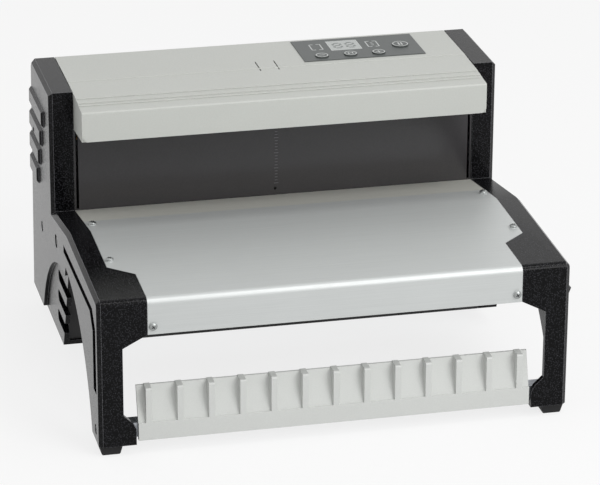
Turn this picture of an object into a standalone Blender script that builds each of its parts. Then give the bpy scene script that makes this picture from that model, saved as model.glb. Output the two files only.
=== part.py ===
"""Desktop electric wire closing machine, built as separate pieces.

Metres, +Z up. X runs across the machine, -Y is the operator's side and the
origin is the middle of the footprint on the table top. A place along the depth
is given as its distance back from the front face, and y_at() turns it into Y.
A side outline is a list of (distance back, height) pairs.
"""

import math

import bmesh
import bpy
from mathutils import Matrix, Vector

# Whole machine
WIDTH = 0.425
DEPTH = 0.372
HEIGHT = 0.2545
CLEAR = 0.0003
OVERRUN = 0.02

# Side view: table, bed, column and housing
TABLE_FRONT_Z = 0.147
TABLE_BEND_Z = 0.1512
BED_FOOT_Z = 0.1387
COLUMN_TO_REAR = 0.1276
BED_RUN = 0.0871
REAR_LEAN = 0.018
REAR_CUT = 0.006
BASE_Z = 0.019
PANEL_TO_REAR = 0.1609

# Moulded side frames
FRAME_WALL = 0.005
EDGE_CUT = 0.0035
FLANGE = 0.022
TABLE_FLANGE = 0.044
FLANGE_STEP_FRONT = 0.055
FLANGE_STEP_REAR = 0.0745
APRON_Z = 0.1137
LEG_DEPTH = 0.034
LEG_BOTTOM_Z = 0.0102
LEG_TOP_Z = 0.1023
FOOT_FLANGE = 0.0332
FOOT_FLARE_Z = 0.0388
FOOT_MID_Z = 0.031
FOOT_TOP_Z = 0.025
ARCH_BACK = 0.1795
ARCH_Z = -0.036
ARCH_RADIUS = 0.1505
ARCH_APEX_TO_REAR = 0.204
ARCH_STEPS = 20
RECESS_RADIUS = 0.1405
RECESS_DEPTH = 0.0033
RECESS_STEPS = 24
GROOVE_DEPTH = 0.0035
GROOVE_TOP_Z = 0.1325
GROOVE_HEIGHT = 0.0072
GROOVE_TO_REAR = 0.195
GROOVE_LEG_BACK = 0.0095
GROOVE_LEG_WIDTH = 0.0145
GROOVE_LEG_Z = 0.057
GROOVE_CORNER = 0.0135
GROOVE_PAD = 0.003
BAR_COUNT = 4
BAR_TOP_DROP = 0.0285
BAR_PITCH = 0.0227
BAR_HEIGHT = 0.016
BAR_PROUD = 0.0025
BAR_ROUND = 0.002
BAR_END_TO_REAR = 0.0945
BAR_END_STEP = 0.0123
SLOT_COUNT = 3
SLOT_Z = 0.0823
SLOT_PITCH = 0.0216
SLOT_HEIGHT = 0.0115
SLOT_TO_REAR = 0.1395
SLOT_STEP = 0.004
HOUSING_BOLT_PLACES = ((0.0455, 0.190, 0.0042), (0.0675, 0.102, 0.0052), (0.1520, 0.1195, 0.0065))
FOOT_BOLT = (0.0175, 0.0208, 0.0047)
BOLT_HEAD_RADIUS = 0.0036
BOLT_HEAD_HEIGHT = 0.003
BOLT_RADIUS = 0.0025
BOLT_SINK = 0.0007
BOSS_RADIUS = 0.007

# Steel chassis
CHASSIS_INSET = 0.0175
CHASSIS_WALL = 0.002
PAN_WALL = 0.0015
PAN_RIM = 0.012
PANEL_WALL = 0.0015
REAR_COVER_WALL = 0.002
REAR_COVER_TOP_DROP = 0.0115
BEAM_HEIGHT = 0.018
BEAM_WALL = 0.002

# Head cover
COVER_WALL = 0.0012
COVER_GAP = 0.0007
CREASE_TO_REAR = 0.099
LIP_TO_REAR = 0.1747
LIP_TOP_DROP = 0.0042
LIP_BOTTOM_DROP = 0.0328
LIP_REAR_DROP = 0.0365
LIP_RETURN = 0.0035
LIP_ROUND = 0.002
LIP_CORNER = 0.004
RIDGE_REACHES = (0.0157, 0.0212, 0.0312)
RIDGE_STEP = 0.0005
COVER_EDGE_DROP = 0.0058
COVER_TAIL_DROP = 0.0185
COVER_TAIL = 0.004
TAB_HALF = 0.0089
TAB_FRONT_TO_REAR = 0.1047
TAB_REAR_TO_REAR = 0.0782
TAB_SLIT = 0.0011

# Throat and bed
THROAT_PANEL_SET = 0.001
THROAT_PANEL_WALL = 0.002
THROAT_PANEL_TOP_DROP = 0.0063
THROAT_PANEL_DROP = 0.012
THROAT_FOLD = 0.010
ARM_SLOT_BOTTOM_Z = 0.1396
ARM_SLOT_TOP_DROP = 0.0081
SCALE_HOLE_Z = 0.1447
SCALE_HOLE_RADIUS = 0.0014

# Work table
SHEET_WALL = 0.002
TABLE_ROUND = 0.006
SHEET_GAP = 0.0004
SHEET_RETURN = 0.008
TABLE_SCREW_INSETS = (0.027, 0.028)
TABLE_SCREW_FRONT = 0.088
TABLE_SCREW_TO_REAR = 0.1895
APRON_SCREW_INSET = 0.0490
APRON_SCREW_Z = 0.1213
SCREW_HEAD_RADIUS = 0.0034
SCREW_HEAD_HEIGHT = 0.0012
SCREW_RADIUS = 0.0016
BRACKET_WALL = 0.002
BRACKET_LEDGE = 0.012
BRACKET_OUTER = 0.011
BRACKET_FRONT = 0.078
BRACKET_TO_REAR = 0.182
LUG_INSET = 0.0545
LUG_WALL = 0.002

# Comb rail and the tie bar behind it
RAIL_INSET = 0.0351
RAIL_BOTTOM_Z = 0.0137
RAIL_BAND_Z = 0.0303
RAIL_TOP_Z = 0.0618
RAIL_LEAN = 0.0096
RAIL_WALL = 0.0024
FINGER_PITCH = 0.028
FINGER_WIDTH = 0.0055
FINGER_TOP_Z = 0.0629
FINGER_ROUND = 0.002
TIE_DEPTH = 0.013

# Feet
FOOT_TOP_WIDTH = 0.021
FOOT_BOTTOM_WIDTH = 0.0163
FOOT_TOP_LENGTH = 0.028
FOOT_BOTTOM_LENGTH = 0.024
FOOT_INSET = 0.0115
FOOT_BACK = 0.0177
REAR_FOOT_INSET = 0.0365
REAR_FOOT_TO_REAR = 0.030
REAR_FOOT_TOP_RADIUS = 0.012
REAR_FOOT_BOTTOM_RADIUS = 0.010

# Closing bar and its stroke
STROKE = 0.070
BAR_FRONT_TO_REAR = 0.170
BAR_DEPTH = 0.034
CLOSER_TOP_DROP = 0.0085
JAW_FRONT_DROP = 0.0320
JAW_WALL = 0.003
BAR_WALL = 0.003
ARM_WALL = 0.0016
ARM_GAP = 0.0004
ARM_POINTS = ((0.0052, 0.0283), (0.0052, 0.0090), (0.0727, 0.0095), (0.0727, 0.0485),
              (0.0557, 0.0485), (0.0467, 0.0415), (0.0387, 0.0355))
CARRIAGE_WIDTH = 0.0145
CARRIAGE_TO_REAR = 0.119
CARRIAGE_DEPTH = 0.018
CARRIAGE_HEIGHT = 0.040
CARRIAGE_TOP_DROP = 0.0095
ROD_RADIUS = 0.004
ROD_TOP_DROP = 0.0059
EAR_WALL = 0.0032
EAR_MARGIN = 0.002
EAR_SIDE = 0.002

# Racks, cross shaft, gears and gear motor
MODULE = 0.0015
RACK_WIDTH = 0.011
RACK_BODY = 0.0046
RACK_LENGTH = 0.100
RACK_FIRST_TOOTH = -2
RACK_LAST_TOOTH = 16
ADDENDUM_SHARE = 1.0
DEDENDUM_SHARE = 1.25
TOOTH_SHARE = 0.42
TIP_SHARE = 0.22
ROOT_SHARE = 0.58
MESH_CLEAR = 0.00015
PINION_TEETH = 16
PINION_WIDTH = 0.012
DRIVE_TEETH = 40
DRIVE_WIDTH = 0.008
DRIVE_INSET = 0.1005
MOTOR_TEETH = 12
MOTOR_PINION_WIDTH = 0.009
MOTOR_ANGLE = math.radians(-60.0)
SHAFT_DROP = 0.0945
SHAFT_RADIUS = 0.004
HUB_RADIUS = 0.009
HUB_WIDTH = 0.006
BUSH_RADIUS = 0.007
BUSH_FLANGE_RADIUS = 0.010
BUSH_FLANGE = 0.002
GEARBOX_LENGTH = 0.040
GEARBOX_SIDE = 0.056
MOTOR_RADIUS = 0.025
MOTOR_LENGTH = 0.075
MOTOR_CAP_RADIUS = 0.012
MOTOR_CAP = 0.006
OUTPUT_RADIUS = 0.0035
MOTOR_PLATE = 0.0027
MOTOR_PLATE_GAP = 0.0023
MOTOR_PLATE_SIDE = 0.058
MOTOR_PLATE_HOLE = 0.008
MOTOR_FOOT = 0.050

# Electronics
BOARD_WALL = 0.0016
CONTROL_BOARD_INSET = 0.0475
CONTROL_BOARD_TO_REAR = 0.117
CONTROL_BOARD_SIZE = (0.120, 0.080)
STANDOFF_HEIGHT = 0.008
STANDOFF_RADIUS = 0.003
STANDOFF_INSET = 0.006
SUPPLY_INSET = 0.0945
SUPPLY_TO_REAR = 0.110
SUPPLY_SIZE = (0.052, 0.070, 0.045)
SUPPLY_FLANGE = 0.005
COIL_MARGIN = 0.006
BOARD_BLOCKS = ((0.10, 0.55, 0.028, 0.022, 0.016), (0.45, 0.60, 0.016, 0.016, 0.012),
                (0.70, 0.15, 0.024, 0.012, 0.010), (0.12, 0.12, 0.040, 0.008, 0.009))

# Operator panel
PANEL_INSET = 0.0585
PANEL_WIDTH = 0.1172
PANEL_FRONT_TO_REAR = 0.0902
PANEL_LENGTH = 0.0608
PANEL_PROUD = 0.0008
PANEL_BODY = 0.004
PANEL_MARGIN = 0.003
WINDOW_OFFSET = (0.0329, 0.0268)
WINDOW_SIZE = (0.0283, 0.0260)
WINDOW_WALL = 0.0012
KEY_OFFSETS = (("minus_button", 0.0191, 0.0119, 0.0062),
               ("mode_button", 0.0469, 0.0119, 0.0062),
               ("plus_button", 0.0742, 0.0111, 0.0062),
               ("start_button", 0.0998, 0.0292, 0.0078))
KEY_PROUD = 0.0012
KEY_TRAVEL = 0.0008
KEY_STEM = 0.004
KEY_SKIRT = 0.0012
KEY_SKIRT_HEIGHT = 0.001
DISPLAY_BLOCK = 0.006
DISPLAY_GAP = 0.0004
BOARD_DROP = 0.012
SWITCH_HALF = 0.003
SWITCH_HEIGHT = 0.0035
POST_RADIUS = 0.0025

# Main switch on the right side frame
ROCKER_BACK = 0.0155
ROCKER_Z = 0.112
BEZEL_WIDTH = 0.013
BEZEL_HEIGHT = 0.021
BEZEL_PROUD = 0.0015
BEZEL_RIM = 0.0017
SWITCH_BODY_DEPTH = 0.012
SWITCH_FLOOR = 0.002
ROCKER_PROUD = 0.0016
ROCKER_THICK = 0.0045
ROCKER_TILT = math.radians(11.0)
ROCKER_ROUND = 0.0008

# Rear cover, inlet and pedal socket
VENT_COUNT = 14
VENT_PITCH = 0.009
VENT_WIDTH = 0.004
VENT_LENGTH = 0.050
VENT_INSET = 0.0875
VENT_DROP = 0.0895
INLET_INSET = 0.0725
INLET_Z = 0.060
INLET_WIDTH = 0.028
INLET_HEIGHT = 0.020
INLET_FLANGE = 0.004
INLET_FLANGE_WALL = 0.002
INLET_DEPTH = 0.020
INLET_WALL = 0.002
PIN_WIDTH = 0.002
PIN_HEIGHT = 0.004
PIN_SPREAD = 0.007
PIN_RISE = 0.002
PIN_LENGTH = 0.015
PIN_BLOCK = 0.002
SOCKET_INSET = 0.1275
SOCKET_Z = 0.060
SOCKET_RADIUS = 0.0085
SOCKET_NUT_RADIUS = 0.011
SOCKET_NUT = 0.0025
SOCKET_BORE = 0.0045
SOCKET_DEPTH = 0.016

ROUND_SIDES = 24
SMALL_SIDES = 12

FRONT_Y = -DEPTH / 2
SIDE_X = WIDTH / 2
LIP_TOP_Z = HEIGHT - LIP_TOP_DROP
LIP_BOTTOM_Z = HEIGHT - LIP_BOTTOM_DROP
LIP_REAR_Z = HEIGHT - LIP_REAR_DROP
COVER_EDGE_Z = HEIGHT - COVER_EDGE_DROP
COVER_TAIL_Z = HEIGHT - COVER_TAIL_DROP
REAR_COVER_TOP_Z = HEIGHT - REAR_COVER_TOP_DROP
THROAT_PANEL_TOP_Z = HEIGHT - THROAT_PANEL_TOP_DROP
ARM_SLOT_TOP_Z = HEIGHT - ARM_SLOT_TOP_DROP
CLOSER_TOP_Z = HEIGHT - CLOSER_TOP_DROP
JAW_FRONT_Z = HEIGHT - JAW_FRONT_DROP
CARRIAGE_TOP_Z = HEIGHT - CARRIAGE_TOP_DROP
ROD_TOP_Z = HEIGHT - ROD_TOP_DROP
BAR_TOP_Z = HEIGHT - BAR_TOP_DROP
VENT_Z = HEIGHT - VENT_DROP
SHAFT_Z = HEIGHT - SHAFT_DROP
COLUMN_BACK = DEPTH - COLUMN_TO_REAR
PANEL_BACK = DEPTH - PANEL_TO_REAR
CREASE_BACK = DEPTH - CREASE_TO_REAR
LIP_BACK = DEPTH - LIP_TO_REAR
TAB_FRONT_BACK = DEPTH - TAB_FRONT_TO_REAR
TAB_REAR_BACK = DEPTH - TAB_REAR_TO_REAR
BAR_END_BACK = DEPTH - BAR_END_TO_REAR
SLOT_BACK = DEPTH - SLOT_TO_REAR
REAR_FOOT_BACK = DEPTH - REAR_FOOT_TO_REAR
BAR_FRONT_BACK = DEPTH - BAR_FRONT_TO_REAR
CARRIAGE_BACK = DEPTH - CARRIAGE_TO_REAR
GROOVE_BACK = DEPTH - GROOVE_TO_REAR
BRACKET_REAR = DEPTH - BRACKET_TO_REAR
ARCH_APEX_BACK = DEPTH - ARCH_APEX_TO_REAR
CHASSIS_X = SIDE_X - CHASSIS_INSET
APRON_SCREW_X = SIDE_X - APRON_SCREW_INSET
LUG_X = SIDE_X - LUG_INSET
RAIL_HALF = SIDE_X - RAIL_INSET
FOOT_X = SIDE_X - FOOT_INSET
REAR_FOOT_X = SIDE_X - REAR_FOOT_INSET
INLET_X = SIDE_X - INLET_INSET
SOCKET_X = SIDE_X - SOCKET_INSET
DRIVE_X = SIDE_X - DRIVE_INSET
VENT_X = VENT_INSET - SIDE_X
RIDGE_BACKS = tuple(LIP_BACK + reach for reach in RIDGE_REACHES)
HOUSING_BOLTS = tuple((DEPTH - to_rear, z, radius) for to_rear, z, radius in HOUSING_BOLT_PLACES)
TABLE_SCREW_PLACES = ((SIDE_X - TABLE_SCREW_INSETS[0], TABLE_SCREW_FRONT),
                      (SIDE_X - TABLE_SCREW_INSETS[1], DEPTH - TABLE_SCREW_TO_REAR))
FINGER_SIDE_COUNT = int((RAIL_HALF - FINGER_WIDTH) / FINGER_PITCH)
FINGER_COUNT = 2 * FINGER_SIDE_COUNT + 1
CONTROL_BOARD_LOW = (CONTROL_BOARD_INSET - SIDE_X, DEPTH - CONTROL_BOARD_TO_REAR)
SUPPLY_LOW = (SIDE_X - SUPPLY_INSET, DEPTH - SUPPLY_TO_REAR)
PANEL_X = (SIDE_X - PANEL_INSET - PANEL_WIDTH, SIDE_X - PANEL_INSET)
PANEL_REACH = (DEPTH - PANEL_FRONT_TO_REAR, DEPTH - PANEL_FRONT_TO_REAR + PANEL_LENGTH)
WINDOW_X = (PANEL_X[0] + WINDOW_OFFSET[0], PANEL_X[0] + WINDOW_OFFSET[0] + WINDOW_SIZE[0])
WINDOW_REACH = (PANEL_REACH[0] + WINDOW_OFFSET[1],
                PANEL_REACH[0] + WINDOW_OFFSET[1] + WINDOW_SIZE[1])
KEY_PLACES = tuple((name, PANEL_X[0] + x, PANEL_REACH[0] + reach, radius)
                   for name, x, reach, radius in KEY_OFFSETS)
ARM_PROFILE = tuple((LIP_BACK + reach, HEIGHT - drop) for reach, drop in ARM_POINTS)
COVER_HALF = SIDE_X - FLANGE
TABLE_HALF = SIDE_X - TABLE_FLANGE
TABLE_BEND_BACK = COLUMN_BACK - BED_RUN
BED_SLOPE = (TABLE_BEND_Z - BED_FOOT_Z) / BED_RUN
TABLE_SLOPE = (TABLE_BEND_Z - TABLE_FRONT_Z) / TABLE_BEND_BACK
REAR_TOP_BACK = DEPTH - REAR_LEAN
REAR_RISE = HEIGHT - REAR_CUT - BASE_Z
CHASSIS_INNER = CHASSIS_X - CHASSIS_WALL
FLOOR_Z = BASE_Z + FRAME_WALL + CLEAR
PAN_TOP_Z = FLOOR_Z + PAN_WALL
REAR_PLANE = DEPTH - FRAME_WALL - CLEAR
BED_FRONT = LIP_BACK
ARM_OUTER = COVER_HALF - COVER_GAP - COVER_WALL - ARM_GAP
ARM_INNER = ARM_OUTER - ARM_WALL
ARM_TOP_Z = THROAT_PANEL_TOP_Z - THROAT_PANEL_WALL - CLEAR
CARRIAGE_OUTER = ARM_INNER - CLEAR
CARRIAGE_INNER = CARRIAGE_OUTER - CARRIAGE_WIDTH
ROD_X = (CARRIAGE_INNER + CARRIAGE_OUTER) / 2
ROD_BACK = CARRIAGE_BACK + CARRIAGE_DEPTH / 2
RACK_FRONT = CARRIAGE_BACK + CARRIAGE_DEPTH + CLEAR
RACK_ROOT = RACK_FRONT + RACK_BODY
SHAFT_BACK = RACK_ROOT + DEDENDUM_SHARE * MODULE + PINION_TEETH * MODULE / 2 + MESH_CLEAR
GEAR_DISTANCE = (DRIVE_TEETH + MOTOR_TEETH) * MODULE / 2 + MESH_CLEAR
MOTOR_BACK = SHAFT_BACK + GEAR_DISTANCE * math.cos(MOTOR_ANGLE)
MOTOR_Z = SHAFT_Z + GEAR_DISTANCE * math.sin(MOTOR_ANGLE)
ROCKER_AXIS_X = SIDE_X + BEZEL_PROUD - CLEAR


def y_at(back):
    """Y of a place that lies this far behind the machine's front face."""
    return FRONT_Y + back


def bed_z(back):
    """Height of the table, or of the bed behind its bend, at this depth."""
    if back > TABLE_BEND_BACK:
        return TABLE_BEND_Z - (back - TABLE_BEND_BACK) * BED_SLOPE
    return TABLE_FRONT_Z + back * TABLE_SLOPE


def rear_back(z):
    """Depth of the leaning rear face at this height."""
    return DEPTH - REAR_LEAN * (z - BASE_Z) / REAR_RISE


def arc(centre, radius, start, end, steps):
    """Points of an arc from one angle to another."""
    points = []
    for i in range(steps + 1):
        angle = start + (end - start) * i / steps
        points.append((centre[0] + radius * math.cos(angle),
                       centre[1] + radius * math.sin(angle)))
    return points


def circle(centre, radius, sides=ROUND_SIDES):
    """Points of a full circle."""
    return arc(centre, radius, 0, math.tau * (sides - 1) / sides, sides - 1)


def rectangle(low, high):
    """Corner points of an upright rectangle."""
    return [(low[0], low[1]), (high[0], low[1]), (high[0], high[1]), (low[0], high[1])]


# Scene, materials and collections

def empty_scene():
    """Remove every object, so that the script can be run again."""
    for old in list(bpy.data.objects):
        bpy.data.objects.remove(old, do_unlink=True)


empty_scene()
PARTS = bpy.data.collections.new("wire_closing_machine")
CUTTERS = bpy.data.collections.new("cutters")
bpy.context.scene.collection.children.link(PARTS)
bpy.context.scene.collection.children.link(CUTTERS)


def finish(name, colour, roughness, metallic=0.0):
    """A Principled material with a colour, a roughness and a metallic value."""
    mat = bpy.data.materials.new(name)
    mat.use_nodes = True
    shader = mat.node_tree.nodes["Principled BSDF"]
    shader.inputs["Base Color"].default_value = (*colour, 1.0)
    shader.inputs["Roughness"].default_value = roughness
    shader.inputs["Metallic"].default_value = metallic
    return mat


BLACK_SHELL = finish("black_moulded_shell", (0.012, 0.011, 0.012), 0.35)
GREY_COVER = finish("pale_grey_cover", (0.60, 0.61, 0.57), 0.45)
ALUMINIUM = finish("brushed_aluminium", (0.50, 0.51, 0.50), 0.35, 1.0)
DARK_SHEET = finish("dark_throat_sheet", (0.045, 0.041, 0.043), 0.45)
BED_STEEL = finish("bed_steel", (0.25, 0.25, 0.24), 0.4, 1.0)
ZINC = finish("zinc_plated_steel", (0.45, 0.46, 0.47), 0.4, 1.0)
BLACK_STEEL = finish("black_painted_steel", (0.02, 0.02, 0.02), 0.5)
PALE_RAIL = finish("pale_grey_rail", (0.62, 0.64, 0.60), 0.5)
RUBBER = finish("black_rubber", (0.02, 0.02, 0.02), 0.85)
BRIGHT_STEEL = finish("bright_steel", (0.6, 0.6, 0.6), 0.25, 1.0)
BRONZE = finish("sintered_bronze", (0.45, 0.28, 0.12), 0.4, 1.0)
GEAR_NYLON = finish("natural_nylon", (0.75, 0.73, 0.65), 0.5)
PANEL_GREY = finish("panel_grey_film", (0.15, 0.16, 0.155), 0.4)
DISPLAY = finish("display_window", (0.55, 0.60, 0.55), 0.15)
KEY_GREY = finish("key_grey", (0.16, 0.17, 0.165), 0.4)
BOARD_GREEN = finish("circuit_board", (0.02, 0.12, 0.05), 0.5)
BLACK_PLASTIC = finish("black_plastic", (0.015, 0.015, 0.015), 0.4)
COPPER = finish("winding_copper", (0.55, 0.22, 0.08), 0.35, 1.0)


# Builders of plain solids

def add_object(name, mesh, material=None):
    """Link a mesh as a part, or as a cutter where it has no material."""
    obj = bpy.data.objects.new(name, mesh)
    if material is None:
        CUTTERS.objects.link(obj)
        obj.hide_render = True
        obj.display_type = 'WIRE'
    else:
        PARTS.objects.link(obj)
        mesh.materials.clear()
        mesh.materials.append(material)
    return obj


# Each outline plane: where the outline's two axes and its thickness point
PLANES = {
    'X': Matrix(((0, 0, 1), (1, 0, 0), (0, 1, 0))),
    'Y': Matrix(((1, 0, 0), (0, 0, -1), (0, 1, 0))),
    'Z': Matrix(((1, 0, 0), (0, 1, 0), (0, 0, 1))),
}


def prism(name, loops, axis, low, high, material=None):
    """A flat outline, with any holes in it, made as thick as low to high.

    An 'X' outline is given as (distance back, height), a 'Y' outline as
    (x, height) and a 'Z' outline as (x, distance back).
    """
    curve = bpy.data.curves.new(name, 'CURVE')
    curve.dimensions = '2D'
    curve.fill_mode = 'BOTH'
    curve.extrude = (high - low) / 2
    if not isinstance(loops[0][0], (tuple, list)):
        loops = [loops]
    for loop in loops:
        spline = curve.splines.new('POLY')
        spline.points.add(len(loop) - 1)
        for point, (a, b) in zip(spline.points, loop):
            point.co = (a, b, 0, 1)
        spline.use_cyclic_u = True
    flat = bpy.data.objects.new(name + "_outline", curve)
    CUTTERS.objects.link(flat)
    bpy.context.view_layer.update()
    graph = bpy.context.evaluated_depsgraph_get()
    mesh = bpy.data.meshes.new_from_object(flat.evaluated_get(graph))
    bpy.data.objects.remove(flat, do_unlink=True)
    mesh.name = name
    middle = (low + high) / 2
    shift = {'X': Vector((middle, FRONT_Y, 0)),
             'Y': Vector((0, middle, 0)),
             'Z': Vector((0, FRONT_Y, middle))}[axis]
    bm = bmesh.new()
    bm.from_mesh(mesh)
    bmesh.ops.remove_doubles(bm, verts=bm.verts, dist=CLEAR / 30)
    bmesh.ops.dissolve_limit(bm, angle_limit=math.radians(0.2), verts=bm.verts, edges=bm.edges)
    bmesh.ops.transform(bm, matrix=Matrix.Translation(shift) @ PLANES[axis].to_4x4(), verts=bm.verts)
    bmesh.ops.recalc_face_normals(bm, faces=bm.faces)
    bm.to_mesh(mesh)
    bm.free()
    return add_object(name, mesh, material)


def box(name, x, back, z, material=None):
    """A block between two places on each axis, made from a unit cube."""
    bm = bmesh.new()
    bmesh.ops.create_cube(bm, size=1)
    size = Vector((x[1] - x[0], back[1] - back[0], z[1] - z[0]))
    centre = Vector(((x[0] + x[1]) / 2, y_at((back[0] + back[1]) / 2), (z[0] + z[1]) / 2))
    bmesh.ops.scale(bm, vec=size, verts=bm.verts)
    bmesh.ops.translate(bm, vec=centre, verts=bm.verts)
    mesh = bpy.data.meshes.new(name)
    bm.to_mesh(mesh)
    bm.free()
    return add_object(name, mesh, material)


def cylinder(name, axis, centre, radius, low, high, material=None, sides=ROUND_SIDES, top_radius=None):
    """A round bar or cone along an axis; the centre is given as for a prism's outline."""
    bm = bmesh.new()
    end = radius if top_radius is None else top_radius
    bmesh.ops.create_cone(bm, cap_ends=True, segments=sides, radius1=radius, radius2=end, depth=high - low)
    middle = (low + high) / 2
    if axis == 'X':
        turn = Matrix.Rotation(math.radians(90), 4, 'Y')
        place = Vector((middle, y_at(centre[0]), centre[1]))
    elif axis == 'Y':
        turn = Matrix.Rotation(math.radians(-90), 4, 'X')
        place = Vector((centre[0], y_at(middle), centre[1]))
    else:
        turn = Matrix.Identity(4)
        place = Vector((centre[0], y_at(centre[1]), middle))
    bmesh.ops.transform(bm, matrix=Matrix.Translation(place) @ turn, verts=bm.verts)
    mesh = bpy.data.meshes.new(name)
    bm.to_mesh(mesh)
    bm.free()
    if material is not None:
        mesh.shade_smooth()
        mesh.set_sharp_from_angle(angle=math.radians(40))
    return add_object(name, mesh, material)


def boolean(obj, other, operation='DIFFERENCE'):
    """Cut one solid with another, or join it on."""
    mod = obj.modifiers.new(operation.lower() + "_" + other.name, 'BOOLEAN')
    mod.operation = operation
    mod.solver = 'EXACT'
    mod.object = other
    return obj


def bevel(obj, width, segments=1, angle=40.0):
    """Round or chamfer the edges that are sharper than an angle."""
    mod = obj.modifiers.new("edges", 'BEVEL')
    mod.width = width
    mod.segments = segments
    mod.limit_method = 'ANGLE'
    mod.angle_limit = math.radians(angle)
    return obj


def chamfer_outer_rim(obj, x_face, width, keep):
    """Chamfer the rim of the flat face at x_face, where keep(edge middle) is true."""
    bm = bmesh.new()
    bm.from_mesh(obj.data)
    rim = []
    for edge in bm.edges:
        middle = (edge.verts[0].co + edge.verts[1].co) / 2
        on_face = all(abs(v.co.x - x_face) < CLEAR / 3 for v in edge.verts)
        if on_face and len(edge.link_faces) == 2 and edge.calc_face_angle() > 1 and keep(middle):
            rim.append(edge)
    bmesh.ops.bevel(bm, geom=rim, offset=width, segments=1, affect='EDGES', profile=0.5, material=-1)
    bm.to_mesh(obj.data)
    bm.free()


def baked(obj):
    """The object's mesh with its modifiers applied."""
    bpy.context.view_layer.update()
    graph = bpy.context.evaluated_depsgraph_get()
    return bpy.data.meshes.new_from_object(obj.evaluated_get(graph))


def mirrored(obj, name):
    """The opposite hand of a finished piece."""
    mesh = baked(obj)
    bm = bmesh.new()
    bm.from_mesh(mesh)
    bmesh.ops.scale(bm, vec=Vector((-1, 1, 1)), verts=bm.verts)
    bmesh.ops.reverse_faces(bm, faces=bm.faces)
    bm.to_mesh(mesh)
    bm.free()
    mesh.name = name
    return add_object(name, mesh, obj.data.materials[0])


def group(name, members, material):
    """Several solids made into one mesh, such as the fingers of a comb."""
    bm = bmesh.new()
    for member in members:
        mesh = baked(member)
        bm.from_mesh(mesh)
        bpy.data.meshes.remove(mesh)
        bpy.data.objects.remove(member, do_unlink=True)
    mesh = bpy.data.meshes.new(name)
    bm.to_mesh(mesh)
    bm.free()
    mesh.shade_smooth()
    mesh.set_sharp_from_angle(angle=math.radians(40))
    return add_object(name, mesh, material)


def place_origin(obj, x, back, z):
    """Put the object's origin at a place without moving the piece."""
    point = Vector((x, y_at(back), z))
    obj.data.transform(Matrix.Translation(-point))
    obj.location = point
    return obj


def offset_line(path, distance, closed=False):
    """A line moved to its left by a distance, with mitred corners."""
    moved = []
    count = len(path)
    for i, point in enumerate(path):
        normals = []
        for a, b in ((i - 1, i), (i, i + 1)):
            if not closed and (a < 0 or b >= count):
                continue
            run = (path[b % count][0] - path[a % count][0], path[b % count][1] - path[a % count][1])
            length = math.hypot(*run)
            normals.append((-run[1] / length, run[0] / length))
        across = sum(n[0] for n in normals) / len(normals)
        along = sum(n[1] for n in normals) / len(normals)
        scale = distance / (across * across + along * along)
        moved.append((point[0] + across * scale, point[1] + along * scale))
    return moved


def strip(path, wall):
    """Outline of sheet metal that follows a line, its thickness to the line's left."""
    return list(path) + offset_line(path, wall)[::-1]


def surface_line(front, rear, drop=0.0):
    """The table and bed surface between two depths, moved down by a drop."""
    line = [(front, bed_z(front))]
    if front < TABLE_BEND_BACK < rear:
        line.append((TABLE_BEND_BACK, TABLE_BEND_Z))
    line.append((rear, bed_z(rear)))
    if drop:
        line = offset_line(line, -drop)
        line[0] = (front, line[0][1])
        line[-1] = (rear, line[-1][1])
    return line


def surface_band(front, rear, low_drop, high_drop):
    """Outline of a band that lies a little below the table and bed surface."""
    return surface_line(front, rear, high_drop) + surface_line(front, rear, low_drop)[::-1]


# Side frames

def frame_outline():
    """Side view of a side frame before the arch is cut out of it."""
    corner = arc((TABLE_ROUND, bed_z(TABLE_ROUND) - TABLE_ROUND), TABLE_ROUND, math.pi, math.pi / 2, 4)
    return ([(0, LEG_BOTTOM_Z)] + corner
            + [(TABLE_BEND_BACK, TABLE_BEND_Z), (COLUMN_BACK, BED_FOOT_Z), (COLUMN_BACK, HEIGHT),
               (REAR_TOP_BACK - REAR_CUT, HEIGHT), (REAR_TOP_BACK, HEIGHT - REAR_CUT),
               (DEPTH, BASE_Z), (PANEL_BACK, BASE_Z), (PANEL_BACK, LEG_BOTTOM_Z)])


def arch_outline():
    """Side view of the open arch between the front leg and the housing."""
    apex = math.acos((ARCH_APEX_BACK - ARCH_BACK) / ARCH_RADIUS)
    end = math.pi - math.asin((-OVERRUN - ARCH_Z) / ARCH_RADIUS)
    front = arc((ARCH_BACK, ARCH_Z), ARCH_RADIUS, apex, end, ARCH_STEPS)
    return front + [(PANEL_BACK, -OVERRUN), (PANEL_BACK, BASE_Z)]


def groove_outline(margin):
    """Side view of the L-shaped groove, made larger all round by a margin."""
    low = GROOVE_TOP_Z - GROOVE_HEIGHT
    rear = GROOVE_LEG_BACK + GROOVE_LEG_WIDTH
    outline = [(GROOVE_BACK, low), (GROOVE_BACK, GROOVE_TOP_Z),
               (rear, GROOVE_TOP_Z), (GROOVE_LEG_BACK, GROOVE_TOP_Z - GROOVE_LEG_WIDTH),
               (GROOVE_LEG_BACK, GROOVE_LEG_Z), (rear, GROOVE_LEG_Z),
               (rear, low - GROOVE_CORNER), (rear + GROOVE_CORNER, low)]
    return offset_line(outline, -margin, closed=True) if margin else outline


def rounded_slot(front, rear, z, height):
    """Side view of a slot that is open in front and round at the back."""
    radius = height / 2
    end = arc((rear - radius, z), radius, -math.pi / 2, math.pi / 2, 8)
    return [(front, z - radius)] + end + [(front, z + radius)]


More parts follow.
